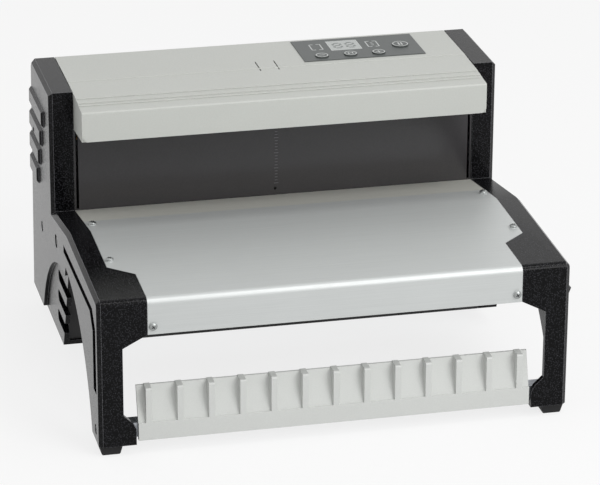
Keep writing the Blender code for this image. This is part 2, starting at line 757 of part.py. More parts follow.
def apron_lug(frame):
    """Join the lug that takes the apron's screw to the back of the front margin."""
    low = APRON_Z + SHEET_WALL + CLEAR
    lug = box("apron_lug", (LUG_X, TABLE_HALF + FRAME_WALL), (SHEET_WALL + CLEAR, FRAME_WALL + LUG_WALL),
              (low, 2 * APRON_SCREW_Z - low))
    boolean(frame, lug, 'UNION')
    boolean(frame, cylinder("lug_hole", 'Y', (APRON_SCREW_X, APRON_SCREW_Z), SCREW_RADIUS + CLEAR,
                            0, OVERRUN, sides=SMALL_SIDES))


def side_frames():
    """The two moulded side frames, each leg, table margin and housing side in one."""
    outer = SIDE_X + OVERRUN
    wall_x = SIDE_X - FRAME_WALL
    frame = prism("right_side_frame", frame_outline(), 'X', TABLE_HALF, SIDE_X, BLACK_SHELL)
    chamfer_outer_rim(frame, SIDE_X, EDGE_CUT, lambda p: p.z > BASE_Z + CLEAR)

    pocket_line = offset_line(frame_outline(), -FRAME_WALL, closed=True)
    pocket = prism("frame_pocket", pocket_line, 'X', TABLE_HALF - OVERRUN, wall_x)
    recess_circle = circle((ARCH_BACK, ARCH_Z), RECESS_RADIUS + GROOVE_PAD, RECESS_STEPS * 2)
    boolean(pocket, prism("recess_pad", recess_circle, 'X', wall_x - RECESS_DEPTH, outer))
    boolean(pocket, prism("groove_pad", groove_outline(-GROOVE_PAD), 'X', wall_x - GROOVE_DEPTH, outer))
    boolean(frame, pocket)

    for i in range(BAR_COUNT):
        top = BAR_TOP_Z - i * BAR_PITCH
        low = top - BAR_HEIGHT
        front = BAR_END_BACK + i * BAR_END_STEP
        bar = [(front, top), (rear_back(top) - EDGE_CUT, top), (rear_back(low) - EDGE_CUT, low), (front, low)]
        rib = prism("side_bar", bar, 'X', wall_x + EDGE_CUT / 3, SIDE_X + BAR_PROUD)
        chamfer_outer_rim(rib, SIDE_X + BAR_PROUD, BAR_ROUND, lambda p: True)
        boolean(frame, rib, 'UNION')
    for back, z, radius in HOUSING_BOLTS:
        boss = cylinder("bolt_boss", 'X', (back, z), BOSS_RADIUS, CHASSIS_X + CLEAR, wall_x + EDGE_CUT / 3)
        boolean(frame, boss, 'UNION')

    boolean(frame, prism("arch", arch_outline(), 'X', TABLE_HALF - OVERRUN, outer))
    recess = circle((ARCH_BACK, ARCH_Z), RECESS_RADIUS, RECESS_STEPS * 2)
    boolean(frame, prism("leg_recess", recess, 'X', SIDE_X - RECESS_DEPTH, outer))
    boolean(frame, prism("groove", groove_outline(0), 'X', SIDE_X - GROOVE_DEPTH, outer))
    for i in range(SLOT_COUNT):
        slot = rounded_slot(PANEL_BACK - 2 * OVERRUN, SLOT_BACK + i * SLOT_STEP,
                            SLOT_Z - i * SLOT_PITCH, SLOT_HEIGHT)
        boolean(frame, prism("leg_slot", slot, 'X', CHASSIS_X + EDGE_CUT, outer))
    step = [(TABLE_HALF - OVERRUN, FLANGE_STEP_FRONT), (TABLE_HALF, FLANGE_STEP_FRONT),
            (COVER_HALF, FLANGE_STEP_REAR), (COVER_HALF, DEPTH + OVERRUN),
            (TABLE_HALF - OVERRUN, DEPTH + OVERRUN)]
    boolean(frame, prism("flange_step", step, 'Z', -OVERRUN, HEIGHT + OVERRUN))
    foot_x = SIDE_X - FOOT_FLANGE
    leg = [(TABLE_HALF - OVERRUN, -OVERRUN), (foot_x, -OVERRUN), (foot_x, FOOT_TOP_Z),
           (foot_x + (FOOT_MID_Z - FOOT_TOP_Z) / 2, FOOT_MID_Z), (COVER_HALF, FOOT_FLARE_Z),
           (COVER_HALF, LEG_TOP_Z), (TABLE_HALF, APRON_Z), (TABLE_HALF - OVERRUN, APRON_Z)]
    boolean(frame, prism("leg_line", leg, 'Y', FRONT_Y - OVERRUN, y_at(FLANGE_STEP_FRONT)))
    for back, z, radius in HOUSING_BOLTS + (FOOT_BOLT,):
        seat = SIDE_X - BOLT_SINK - BOLT_HEAD_HEIGHT - CLEAR
        boolean(frame, cylinder("bolt_seat", 'X', (back, z), radius, seat, outer))
        boolean(frame, cylinder("bolt_hole", 'X', (back, z), BOLT_RADIUS + CLEAR, COVER_HALF, outer,
                                sides=SMALL_SIDES))

    apron_lug(frame)
    mirrored(frame, "left_side_frame")

    fill = box("switch_pad", (wall_x - GROOVE_DEPTH + CLEAR, SIDE_X),
               (GROOVE_LEG_BACK - CLEAR, GROOVE_LEG_BACK + GROOVE_LEG_WIDTH + CLEAR),
               (ROCKER_Z - BEZEL_HEIGHT / 2 - GROOVE_PAD, ROCKER_Z + BEZEL_HEIGHT / 2 - CLEAR))
    boolean(frame, fill, 'UNION')
    hole_w = BEZEL_WIDTH / 2 - BEZEL_RIM + CLEAR
    hole_h = BEZEL_HEIGHT / 2 - BEZEL_RIM + CLEAR
    opening = box("switch_opening", (COVER_HALF, outer), (ROCKER_BACK - hole_w, ROCKER_BACK + hole_w),
                  (ROCKER_Z - hole_h, ROCKER_Z + hole_h))
    boolean(frame, opening)


def join_bolt(obj, side, back, z):
    """Join a frame bolt, its head in the side frame's seat, to the steel it clamps."""
    head_out = SIDE_X - BOLT_SINK
    head_in = head_out - BOLT_HEAD_HEIGHT
    head = sorted((side * head_in, side * head_out))
    shank = sorted((side * (CHASSIS_INNER - BOLT_RADIUS), side * (head_in + CLEAR)))
    boolean(obj, cylinder("bolt_shank", 'X', (back, z), BOLT_RADIUS, *shank, sides=SMALL_SIDES), 'UNION')
    boolean(obj, cylinder("bolt_head", 'X', (back, z), BOLT_HEAD_RADIUS, *head), 'UNION')


# Chassis, pans and panels

def chassis_plates():
    """The two steel plates inside the side frames, with their bolts and bush holes."""
    drop = (FRAME_WALL + CLEAR) * math.hypot(1, BED_SLOPE)
    inset = FRAME_WALL + CLEAR
    front = PANEL_BACK + PANEL_WALL + CLEAR
    inner = COLUMN_BACK + inset
    top = HEIGHT - inset
    rear_inset = inset + REAR_COVER_WALL + CLEAR
    outline = [(front, FLOOR_Z), (front, bed_z(front) - drop), (inner, bed_z(inner) - drop), (inner, top),
               (REAR_TOP_BACK - REAR_CUT - rear_inset, top),
               (rear_back(top) - rear_inset, top - REAR_CUT),
               (rear_back(FLOOR_Z) - rear_inset, FLOOR_Z)]
    plate = prism("right_chassis_plate", outline, 'X', CHASSIS_INNER, CHASSIS_X, ZINC)
    bush = cylinder("bush_hole", 'X', (SHAFT_BACK, SHAFT_Z), BUSH_RADIUS + CLEAR, COVER_HALF, SIDE_X)
    boolean(plate, bush)
    for back, z, radius in HOUSING_BOLTS:
        join_bolt(plate, 1, back, z)
    mirrored(plate, "left_chassis_plate")


def base_pan():
    """The floor of the housing, with a rim along its front and back."""
    front = PANEL_BACK + PANEL_WALL + CLEAR
    rear = REAR_PLANE - REAR_COVER_WALL - REAR_LEAN * (PAN_RIM + FRAME_WALL) / REAR_RISE - CLEAR
    half = CHASSIS_INNER - CLEAR
    path = [(front, FLOOR_Z + PAN_RIM), (front, FLOOR_Z), (rear, FLOOR_Z), (rear, FLOOR_Z + PAN_RIM)]
    prism("base_pan", strip(path, PAN_WALL), 'X', -half, half, ZINC)


def lower_front_panel():
    """The dark panel under the bed, stepped over the side frames' bottom flanges."""
    half = SIDE_X - FRAME_WALL - RECESS_DEPTH - CLEAR
    inner = COVER_HALF - CLEAR
    step = BASE_Z + FRAME_WALL + CLEAR
    top = bed_z(PANEL_BACK + PANEL_WALL) - (FRAME_WALL + 2 * CLEAR) * math.hypot(1, BED_SLOPE)
    outline = [(-half, top), (-half, step), (-inner, step), (-inner, BASE_Z),
               (inner, BASE_Z), (inner, step), (half, step), (half, top)]
    prism("lower_front_panel", outline, 'Y', y_at(PANEL_BACK), y_at(PANEL_BACK + PANEL_WALL), DARK_SHEET)


def throat_back_panel():
    """The panel behind the throat, with one long slot per arm and a sight hole."""
    front = COLUMN_BACK + THROAT_PANEL_SET
    rear = front + THROAT_PANEL_WALL
    half = COVER_HALF - CLEAR
    bottom = BED_FOOT_Z - THROAT_PANEL_DROP
    path = [(rear + THROAT_FOLD, THROAT_PANEL_TOP_Z), (front, THROAT_PANEL_TOP_Z), (front, bottom)]
    panel = prism("throat_back_panel", strip(path, THROAT_PANEL_WALL), 'X', -half, half, DARK_SHEET)
    for side in (1, -1):
        x = sorted((side * (ARM_INNER - ARM_GAP), side * (ARM_OUTER + ARM_GAP)))
        slot = box("arm_slot", x, (front - OVERRUN, rear + OVERRUN), (ARM_SLOT_BOTTOM_Z, ARM_SLOT_TOP_Z))
        boolean(panel, slot)
        clear_x = sorted((side * (CARRIAGE_INNER - EAR_SIDE - CLEAR), side * SIDE_X))
        corner = box("fold_corner", clear_x, (rear + CLEAR, rear + OVERRUN), (ARM_TOP_Z, HEIGHT))
        boolean(panel, corner)
    boolean(panel, cylinder("sight_hole", 'Y', (0, SCALE_HOLE_Z), SCALE_HOLE_RADIUS,
                            front - OVERRUN, rear + OVERRUN, sides=SMALL_SIDES))


def lean(obj):
    """Turn a piece that was built upright so that it follows the leaning rear face."""
    pivot = Vector((0, y_at(DEPTH), BASE_Z))
    turn = Matrix.Rotation(math.atan2(REAR_LEAN, REAR_RISE), 4, 'X')
    obj.data.transform(Matrix.Translation(pivot) @ turn @ Matrix.Translation(-pivot))
    return obj


def rear_cover():
    """The leaning rear cover with its vents and the cut-outs for both sockets."""
    half = CHASSIS_INNER - CLEAR
    holes = [rectangle((-half, FLOOR_Z + REAR_COVER_WALL), (half, REAR_COVER_TOP_Z))]
    for i in range(VENT_COUNT):
        x = VENT_X + i * VENT_PITCH
        holes.append(rectangle((x, VENT_Z - VENT_LENGTH / 2), (x + VENT_WIDTH, VENT_Z + VENT_LENGTH / 2)))
    inlet_low = (INLET_X - INLET_WIDTH / 2 - CLEAR, INLET_Z - INLET_HEIGHT / 2 - CLEAR)
    inlet_high = (INLET_X + INLET_WIDTH / 2 + CLEAR, INLET_Z + INLET_HEIGHT / 2 + CLEAR)
    holes.append(rectangle(inlet_low, inlet_high))
    holes.append(circle((SOCKET_X, SOCKET_Z), SOCKET_RADIUS + CLEAR))
    cover = prism("rear_cover", holes, 'Y', y_at(REAR_PLANE - REAR_COVER_WALL), y_at(REAR_PLANE), BLACK_STEEL)
    lean(cover)


def cover_top(back):
    """Height of the head cover's top between the lip and the crease."""
    climb = HEIGHT - LIP_TOP_Z - RIDGE_STEP * len(RIDGE_BACKS)
    passed = sum(1 for ridge in RIDGE_BACKS if back >= ridge)
    return LIP_TOP_Z + climb * (back - LIP_BACK) / (CREASE_BACK - LIP_BACK) + RIDGE_STEP * passed


def head_cover():
    """The pale head cover: lip, stepped slope, crease, flat top and rear edge."""
    half = COVER_HALF - COVER_GAP
    tail_back = rear_back(COVER_TAIL_Z)
    lip = arc((LIP_BACK + LIP_ROUND, LIP_TOP_Z - LIP_ROUND), LIP_ROUND, math.pi, math.pi / 2, 4)
    slope = []
    for ridge in RIDGE_BACKS:
        slope.append((ridge - RIDGE_STEP, cover_top(ridge - RIDGE_STEP)))
        slope.append((ridge, cover_top(ridge)))
    rear = [(CREASE_BACK, HEIGHT), (REAR_TOP_BACK - REAR_CUT, HEIGHT),
            (REAR_TOP_BACK, HEIGHT - REAR_CUT), (tail_back, COVER_TAIL_Z)]
    outside = [(LIP_BACK, LIP_BOTTOM_Z)] + lip + slope + rear
    side = COLUMN_BACK - CLEAR
    edge = [(tail_back - COVER_TAIL, COVER_TAIL_Z), (tail_back - COVER_TAIL, COVER_EDGE_Z),
            (side, COVER_EDGE_Z), (side, LIP_REAR_Z)]
    cover = prism("head_cover", outside + edge, 'X', -half, half, GREY_COVER)
    plain = [(LIP_BACK, LIP_BOTTOM_Z), (LIP_BACK, LIP_TOP_Z - LIP_ROUND),
             (LIP_BACK + LIP_ROUND, LIP_TOP_Z)] + rear
    inside = offset_line(plain, -COVER_WALL)
    floor_z = LIP_BOTTOM_Z + COVER_WALL
    inside[0] = (inside[0][0], floor_z)
    inside[-1] = (inside[-1][0], COVER_TAIL_Z - OVERRUN)
    hollow = [(LIP_BACK + LIP_RETURN, LIP_REAR_Z - OVERRUN), (LIP_BACK + LIP_RETURN, floor_z)] + inside
    boolean(cover, prism("cover_hollow", hollow, 'X', COVER_WALL - half, half - COVER_WALL))
    for x in (-TAB_HALF, TAB_HALF):
        slit = box("tab_slit", (x - TAB_SLIT / 2, x + TAB_SLIT / 2), (TAB_FRONT_BACK, TAB_REAR_BACK),
                   (COVER_EDGE_Z, HEIGHT + OVERRUN))
        boolean(cover, slit)
    window = box("panel_cutout", (PANEL_X[0] + PANEL_MARGIN, PANEL_X[1] - PANEL_MARGIN),
                 (PANEL_REACH[0] + PANEL_MARGIN, PANEL_REACH[1] - PANEL_MARGIN),
                 (HEIGHT - OVERRUN / 2, HEIGHT + OVERRUN))
    boolean(cover, window)
    for side in (1, -1):
        relief = [(side * (half + OVERRUN), LIP_BOTTOM_Z - OVERRUN),
                  (side * (half + OVERRUN), LIP_BOTTOM_Z + LIP_CORNER),
                  (side * half, LIP_BOTTOM_Z + LIP_CORNER),
                  (side * (half - LIP_CORNER), LIP_BOTTOM_Z),
                  (side * (half - LIP_CORNER), LIP_BOTTOM_Z - OVERRUN)]
        boolean(cover, prism("lip_corner", relief, 'Y', y_at(LIP_BACK) - OVERRUN,
                             y_at(LIP_BACK + COVER_WALL)))


# Bed, work table and their supports

def bed_and_beam():
    """The steel bed under the head and the channel that carries it."""
    half = COVER_HALF - CLEAR
    end = COLUMN_BACK + THROAT_PANEL_SET - CLEAR
    prism("closing_bed", surface_band(BED_FRONT, end, FRAME_WALL, SHEET_GAP / 2), 'X', -half, half, BED_STEEL)
    half = CHASSIS_INNER - CLEAR
    front = PANEL_BACK + PANEL_WALL + CLEAR
    top = surface_line(front, end, FRAME_WALL + 2 * CLEAR)
    path = [(end, top[-1][1] - BEAM_HEIGHT), top[-1], top[0], (front, top[0][1] - BEAM_HEIGHT)]
    prism("bed_beam", strip(path, BEAM_WALL), 'X', -half, half, ZINC)


def join_screw(obj, axis, place, face, outward):
    """Join a screw, its head on the sheet's face, to the sheet it holds."""
    length = SHEET_WALL + CLEAR + BRACKET_WALL + SCREW_RADIUS
    head = sorted((face - outward * SHEET_WALL / 2, face + outward * SCREW_HEAD_HEIGHT))
    shank = sorted((face - outward * length, face))
    boolean(obj, cylinder("screw_head", axis, place, SCREW_HEAD_RADIUS, *head, sides=SMALL_SIDES), 'UNION')
    boolean(obj, cylinder("screw_shank", axis, place, SCREW_RADIUS, *shank, sides=SMALL_SIDES), 'UNION')


def work_table():
    """The aluminium sheet: slope, level table, front bend and apron, with its screws."""
    corner = arc((TABLE_ROUND, bed_z(TABLE_ROUND) - TABLE_ROUND), TABLE_ROUND, math.pi, math.pi / 2, 6)
    rear = BED_FRONT - SHEET_GAP
    path = ([(SHEET_RETURN, APRON_Z), (0, APRON_Z)] + corner
            + [(TABLE_BEND_BACK, TABLE_BEND_Z), (rear, bed_z(rear)), (rear, bed_z(rear) - SHEET_RETURN)])
    half = COVER_HALF - CLEAR
    table = prism("work_table", strip(path, -SHEET_WALL), 'X', -half, half, ALUMINIUM)
    for side in (1, -1):
        narrow = TABLE_HALF - CLEAR
        step = [(side * narrow, -OVERRUN), (side * narrow, FLANGE_STEP_FRONT + CLEAR),
                (side * half, FLANGE_STEP_REAR + CLEAR), (side * (half + OVERRUN), FLANGE_STEP_REAR + CLEAR),
                (side * (half + OVERRUN), -OVERRUN)]
        boolean(table, prism("table_step", step, 'Z', APRON_Z - OVERRUN, TABLE_BEND_Z + OVERRUN))
        for x, back in TABLE_SCREW_PLACES:
            join_screw(table, 'Z', (side * x, back), bed_z(back), 1)
        join_screw(table, 'Y', (side * APRON_SCREW_X, APRON_SCREW_Z), 0, -1)


def table_brackets():
    """Stepped brackets that carry the sheet from under the side frames' margins."""
    gap = SHEET_WALL + CLEAR
    low = FRAME_WALL + CLEAR
    inner = COVER_HALF - CLEAR
    bracket = prism("right_table_bracket",
                    surface_band(BRACKET_FRONT, BRACKET_REAR, gap + BRACKET_WALL, gap),
                    'X', inner - BRACKET_LEDGE, inner, ZINC)
    web = prism("bracket_web", surface_band(BRACKET_FRONT, BRACKET_REAR, low + BRACKET_WALL, gap + CLEAR),
                'X', inner - BRACKET_WALL, inner - CLEAR / 3)
    ledge = prism("bracket_ledge", surface_band(BRACKET_FRONT, BRACKET_REAR, low + BRACKET_WALL, low),
                  'X', inner - BRACKET_WALL + CLEAR / 3, inner + BRACKET_OUTER)
    boolean(web, ledge, 'UNION')
    boolean(bracket, web, 'UNION')
    for x, back in TABLE_SCREW_PLACES:
        boolean(bracket, cylinder("bracket_hole", 'Z', (x, back), SCREW_RADIUS + CLEAR, APRON_Z, HEIGHT,
                                  sides=SMALL_SIDES))
    mirrored(bracket, "left_table_bracket")


def comb_rail():
    """The pale rail between the feet: band, leaning back wall and thirteen fingers."""
    band_rear = FRAME_WALL
    foot = RAIL_WALL - CLEAR
    wall_top = foot + RAIL_LEAN
    profile = [(0, RAIL_BOTTOM_Z), (0, RAIL_BAND_Z), (foot, RAIL_BAND_Z), (wall_top, RAIL_TOP_Z),
               (wall_top + RAIL_WALL, RAIL_TOP_Z), (foot + RAIL_WALL, RAIL_BAND_Z - RAIL_WALL),
               (band_rear, RAIL_BAND_Z - RAIL_WALL), (band_rear, RAIL_BOTTOM_Z)]
    rail = prism("comb_rail", profile, 'X', -RAIL_HALF, RAIL_HALF, PALE_RAIL)
    tip = arc((FINGER_ROUND, FINGER_TOP_Z - FINGER_ROUND), FINGER_ROUND, math.pi, math.pi / 2, 4)
    lean_share = RAIL_LEAN / (RAIL_TOP_Z - RAIL_BAND_Z)
    back_top = foot + RAIL_WALL / 2 + (FINGER_TOP_Z - RAIL_BAND_Z) * lean_share
    finger = ([(0, RAIL_BAND_Z - RAIL_WALL)] + tip
              + [(back_top, FINGER_TOP_Z), (foot + RAIL_WALL / 2, RAIL_BAND_Z - RAIL_WALL / 2)])
    fingers = []
    for i in range(FINGER_COUNT):
        x = (i - (FINGER_COUNT - 1) / 2) * FINGER_PITCH
        fingers.append(prism("finger", finger, 'X', x - FINGER_WIDTH / 2, x + FINGER_WIDTH / 2))
    comb = group("fingers", fingers, PALE_RAIL)
    PARTS.objects.unlink(comb)
    CUTTERS.objects.link(comb)
    comb.hide_render = True
    comb.display_type = 'WIRE'
    boolean(rail, comb, 'UNION')


def front_tie_bar():
    """The channel between the two front legs, behind the comb rail."""
    front = FRAME_WALL + CLEAR
    rear = front + TIE_DEPTH
    low = LEG_BOTTOM_Z + FRAME_WALL + CLEAR
    high = RAIL_BAND_Z - RAIL_WALL / 2
    half = SIDE_X - FRAME_WALL - CLEAR
    path = [(rear, high), (front, high), (front, low), (rear, low)]
    bar = prism("front_tie_bar", strip(path, BRACKET_WALL), 'X', -half, half, ZINC)
    for side in (1, -1):
        x = sorted((side * half, side * (half - BRACKET_WALL)))
        plate = box("tie_end", x, (front + CLEAR / 2, rear + FOOT_BOLT[2]),
                    (low + CLEAR / 2, high - CLEAR / 2))
        boolean(bar, plate, 'UNION')
        join_bolt(bar, side, *FOOT_BOLT[:2])


def feet():
    """Tapered pads under the legs and round feet under the housing."""
    for side, hand in ((1, "right"), (-1, "left")):
        bm = bmesh.new()
        bmesh.ops.create_cube(bm, size=1)
        top = LEG_BOTTOM_Z - CLEAR
        for v in bm.verts:
            upper = v.co.z > 0
            width = FOOT_TOP_WIDTH if upper else FOOT_BOTTOM_WIDTH
            length = FOOT_TOP_LENGTH if upper else FOOT_BOTTOM_LENGTH
            v.co = Vector((side * FOOT_X + v.co.x * width, y_at(FOOT_BACK) + v.co.y * length,
                           top if upper else 0))
        mesh = bpy.data.meshes.new(hand + "_front_foot")
        bm.to_mesh(mesh)
        bm.free()
        add_object(hand + "_front_foot", mesh, RUBBER)
        cylinder(hand + "_rear_foot", 'Z', (side * REAR_FOOT_X, REAR_FOOT_BACK), REAR_FOOT_BOTTOM_RADIUS,
                 0, FLOOR_Z - CLEAR, RUBBER, top_radius=REAR_FOOT_TOP_RADIUS)


# Closing bar, carriages, racks and gears

def closing_bar():
    """The channel that presses down, the jaw pad under it and its two arms."""
    half = ARM_INNER - CLEAR
    rear = BAR_FRONT_BACK + BAR_DEPTH
    front_z = JAW_FRONT_Z + JAW_WALL + CLEAR
    rear_z = front_z - BAR_DEPTH * BED_SLOPE
    path = [(BAR_FRONT_BACK, CLOSER_TOP_Z), (BAR_FRONT_BACK, front_z), (rear, rear_z), (rear, CLOSER_TOP_Z)]
    bar = prism("closing_bar", strip(path, BAR_WALL), 'X', -half, half, BRIGHT_STEEL)
    inset = FINGER_ROUND / 2
    pad_front = BAR_FRONT_BACK + inset
    pad_rear = rear - inset
    pad_top = [(pad_front, front_z - CLEAR - inset * BED_SLOPE),
               (pad_rear, rear_z - CLEAR + inset * BED_SLOPE)]
    pad_low = [(back, z - JAW_WALL) for back, z in pad_top[::-1]]
    pad = prism("jaw_pad", pad_top + pad_low, 'X', -half + inset, half - inset, RUBBER)
    arm = prism("right_bar_arm", list(ARM_PROFILE), 'X', ARM_INNER, ARM_OUTER, BRIGHT_STEEL)
    other = mirrored(arm, "left_bar_arm")
    for obj in (bar, pad, arm, other):
        place_origin(obj, 0, ROD_BACK, CARRIAGE_TOP_Z)


def carriages():
    """Carriage, guide rod and rod bracket on each side."""
    low = CARRIAGE_TOP_Z - CARRIAGE_HEIGHT
    rear = CARRIAGE_BACK + CARRIAGE_DEPTH
    block = box("right_carriage", (CARRIAGE_INNER, CARRIAGE_OUTER), (CARRIAGE_BACK, rear),
                (low, CARRIAGE_TOP_Z), BRONZE)
    boolean(block, cylinder("carriage_bore", 'Z', (ROD_X, ROD_BACK), ROD_RADIUS + CLEAR,
                            BASE_Z, HEIGHT + OVERRUN))
    other = mirrored(block, "left_carriage")
    for obj in (block, other):
        place_origin(obj, 0, ROD_BACK, CARRIAGE_TOP_Z)

    wall = (ARM_OUTER + CHASSIS_INNER) / 2 - ARM_GAP
    bracket_low = low - STROKE - EAR_MARGIN - EAR_WALL
    bracket = box("right_rod_bracket", (wall, CHASSIS_INNER - CLEAR), (CARRIAGE_BACK, rear),
                  (bracket_low, ROD_TOP_Z), ZINC)
    inner = CARRIAGE_INNER - EAR_SIDE
    lower = box("lower_ear", (inner, wall + ARM_GAP), (CARRIAGE_BACK + CLEAR, rear - CLEAR),
                (bracket_low + CLEAR, bracket_low + EAR_WALL))
    upper = box("upper_ear", (inner, wall + ARM_GAP), (CARRIAGE_BACK + CLEAR, rear - CLEAR),
                (ROD_TOP_Z - EAR_WALL + CLEAR, ROD_TOP_Z - CLEAR))
    boolean(bracket, lower, 'UNION')
    boolean(bracket, upper, 'UNION')
    boolean(bracket, cylinder("ear_bore", 'Z', (ROD_X, ROD_BACK), ROD_RADIUS + CLEAR / 2,
                              BASE_Z, HEIGHT + OVERRUN))
    mirrored(bracket, "left_rod_bracket")
    for side, hand in ((1, "right"), (-1, "left")):
        cylinder(hand + "_guide_rod", 'Z', (side * ROD_X, ROD_BACK), ROD_RADIUS, bracket_low, ROD_TOP_Z,
                 BRIGHT_STEEL)


def racks():
    """The two toothed racks behind the carriages, teeth towards the back."""
    pitch = math.pi * MODULE
    low = CARRIAGE_TOP_Z - RACK_LENGTH
    tip = RACK_ROOT + (ADDENDUM_SHARE + DEDENDUM_SHARE) * MODULE
    outline = [(RACK_FRONT, low), (RACK_ROOT, low)]
    for i in range(RACK_FIRST_TOOTH, RACK_LAST_TOOTH + 1):
        z = SHAFT_Z + i * pitch
        outline += [(RACK_ROOT, z - ROOT_SHARE * pitch / 2), (tip, z - TIP_SHARE * pitch / 2),
                    (tip, z + TIP_SHARE * pitch / 2), (RACK_ROOT, z + ROOT_SHARE * pitch / 2)]
    outline += [(RACK_ROOT, CARRIAGE_TOP_Z), (RACK_FRONT, CARRIAGE_TOP_Z)]
    rack = prism("right_rack", outline, 'X', ROD_X - RACK_WIDTH / 2, ROD_X + RACK_WIDTH / 2, BRIGHT_STEEL)
    other = mirrored(rack, "left_rack")
    for obj in (rack, other):
        place_origin(obj, 0, ROD_BACK, CARRIAGE_TOP_Z)


def gear_outline(teeth, centre, first):
    """Outline of a spur gear with a tooth centred on the first angle."""
    pitch_radius = teeth * MODULE / 2
    rings = ((pitch_radius - DEDENDUM_SHARE * MODULE, ROOT_SHARE),
             (pitch_radius, TOOTH_SHARE),
             (pitch_radius + ADDENDUM_SHARE * MODULE, TIP_SHARE))
    step = math.tau / teeth
    outline = []
    for i in range(teeth):
        angle = first + i * step
        flanks = [(r, angle - share * step / 2) for r, share in rings]
        flanks += [(r, angle + share * step / 2) for r, share in rings[::-1]]
        outline += [(centre[0] + r * math.cos(a), centre[1] + r * math.sin(a)) for r, a in flanks]
    return outline


def gear(name, teeth, centre, first, x, width, hub_side, bore, material):
    """A spur gear with a hub on one side and a plain bore."""
    wheel = prism(name, gear_outline(teeth, centre, first), 'X', x - width / 2, x + width / 2, material)
    face = x + hub_side * width / 2
    hub = cylinder(name + "_hub", 'X', centre, HUB_RADIUS, *sorted((x, face + hub_side * HUB_WIDTH)))
    boolean(wheel, hub, 'UNION')
    boolean(wheel, cylinder(name + "_bore", 'X', centre, bore + CLEAR, -SIDE_X, SIDE_X))
    return wheel


def gear_train():
    """Cross shaft, both rack pinions, the drive gear and the two bushes."""
    centre = (SHAFT_BACK, SHAFT_Z)
    half = CHASSIS_X + BUSH_FLANGE
    shaft = cylinder("cross_shaft", 'X', centre, SHAFT_RADIUS, -half, half, BRIGHT_STEEL)
    gap_first = math.pi + math.pi / PINION_TEETH
    right = gear("right_pinion", PINION_TEETH, centre, gap_first, ROD_X, PINION_WIDTH, -1,
                 SHAFT_RADIUS, BRIGHT_STEEL)
    left = gear("left_pinion", PINION_TEETH, centre, gap_first, -ROD_X, PINION_WIDTH, 1,
                SHAFT_RADIUS, BRIGHT_STEEL)
    drive = gear("drive_gear", DRIVE_TEETH, centre, MOTOR_ANGLE + math.pi / DRIVE_TEETH,
                 DRIVE_X, DRIVE_WIDTH, 1, SHAFT_RADIUS, GEAR_NYLON)
    for obj in (shaft, right, left, drive):
        place_origin(obj, 0, *centre)
    for side, hand in ((1, "right"), (-1, "left")):
        flange = sorted((side * (CHASSIS_INNER - CLEAR), side * (CHASSIS_INNER - CLEAR - BUSH_FLANGE)))
        barrel = sorted((side * (CHASSIS_INNER - CLEAR - BUSH_FLANGE / 2), side * (CHASSIS_X + CLEAR)))
        bush = cylinder(hand + "_shaft_bush", 'X', centre, BUSH_FLANGE_RADIUS, *flange, BRONZE)
        boolean(bush, cylinder("bush_barrel", 'X', centre, BUSH_RADIUS, *barrel), 'UNION')
        boolean(bush, cylinder("bush_bore", 'X', centre, SHAFT_RADIUS + CLEAR, -SIDE_X, SIDE_X))


def gear_motor():
    """Motor pinion on its output shaft, gearbox, motor and their bracket."""
    centre = (MOTOR_BACK, MOTOR_Z)
    pinion_low = DRIVE_X - MOTOR_PINION_WIDTH / 2
    plate_high = pinion_low - MOTOR_PLATE_GAP
    plate_low = plate_high - MOTOR_PLATE
    box_high = plate_low - CLEAR
    box_low = box_high - GEARBOX_LENGTH
    motor_high = box_low - CLEAR
    motor_low = motor_high - MOTOR_LENGTH

    pinion = prism("motor_pinion", gear_outline(MOTOR_TEETH, centre, MOTOR_ANGLE + math.pi), 'X',
                   pinion_low, pinion_low + MOTOR_PINION_WIDTH, BRIGHT_STEEL)
    boolean(pinion, cylinder("output_shaft", 'X', centre, OUTPUT_RADIUS, box_high + CLEAR,
                             DRIVE_X), 'UNION')
    place_origin(pinion, 0, *centre)

    side = GEARBOX_SIDE / 2
    gearbox = box("gearbox", (box_low, box_high), (centre[0] - side, centre[0] + side),
                  (centre[1] - side, centre[1] + side), ZINC)
    bevel(gearbox, MODULE * 2, 1)
    motor = cylinder("motor", 'X', centre, MOTOR_RADIUS, motor_low, motor_high, BLACK_STEEL)
    boolean(motor, cylinder("motor_cap", 'X', centre, MOTOR_CAP_RADIUS, motor_low - MOTOR_CAP,
                            motor_low + MOTOR_CAP), 'UNION')

    side = MOTOR_PLATE_SIDE / 2
    foot_z = PAN_TOP_Z + CLEAR
    outline = [rectangle((centre[0] - side, foot_z), (centre[0] + side, centre[1] + side)),
               circle(centre, MOTOR_PLATE_HOLE)]
    plate = prism("motor_bracket", outline, 'X', plate_low, plate_high, ZINC)
    foot = box("bracket_foot", (plate_high - MOTOR_FOOT, plate_high - CLEAR),
               (centre[0] - side + CLEAR, centre[0] + side - CLEAR), (foot_z + CLEAR / 3, foot_z + MOTOR_PLATE))
    boolean(plate, foot, 'UNION')


# Electronics

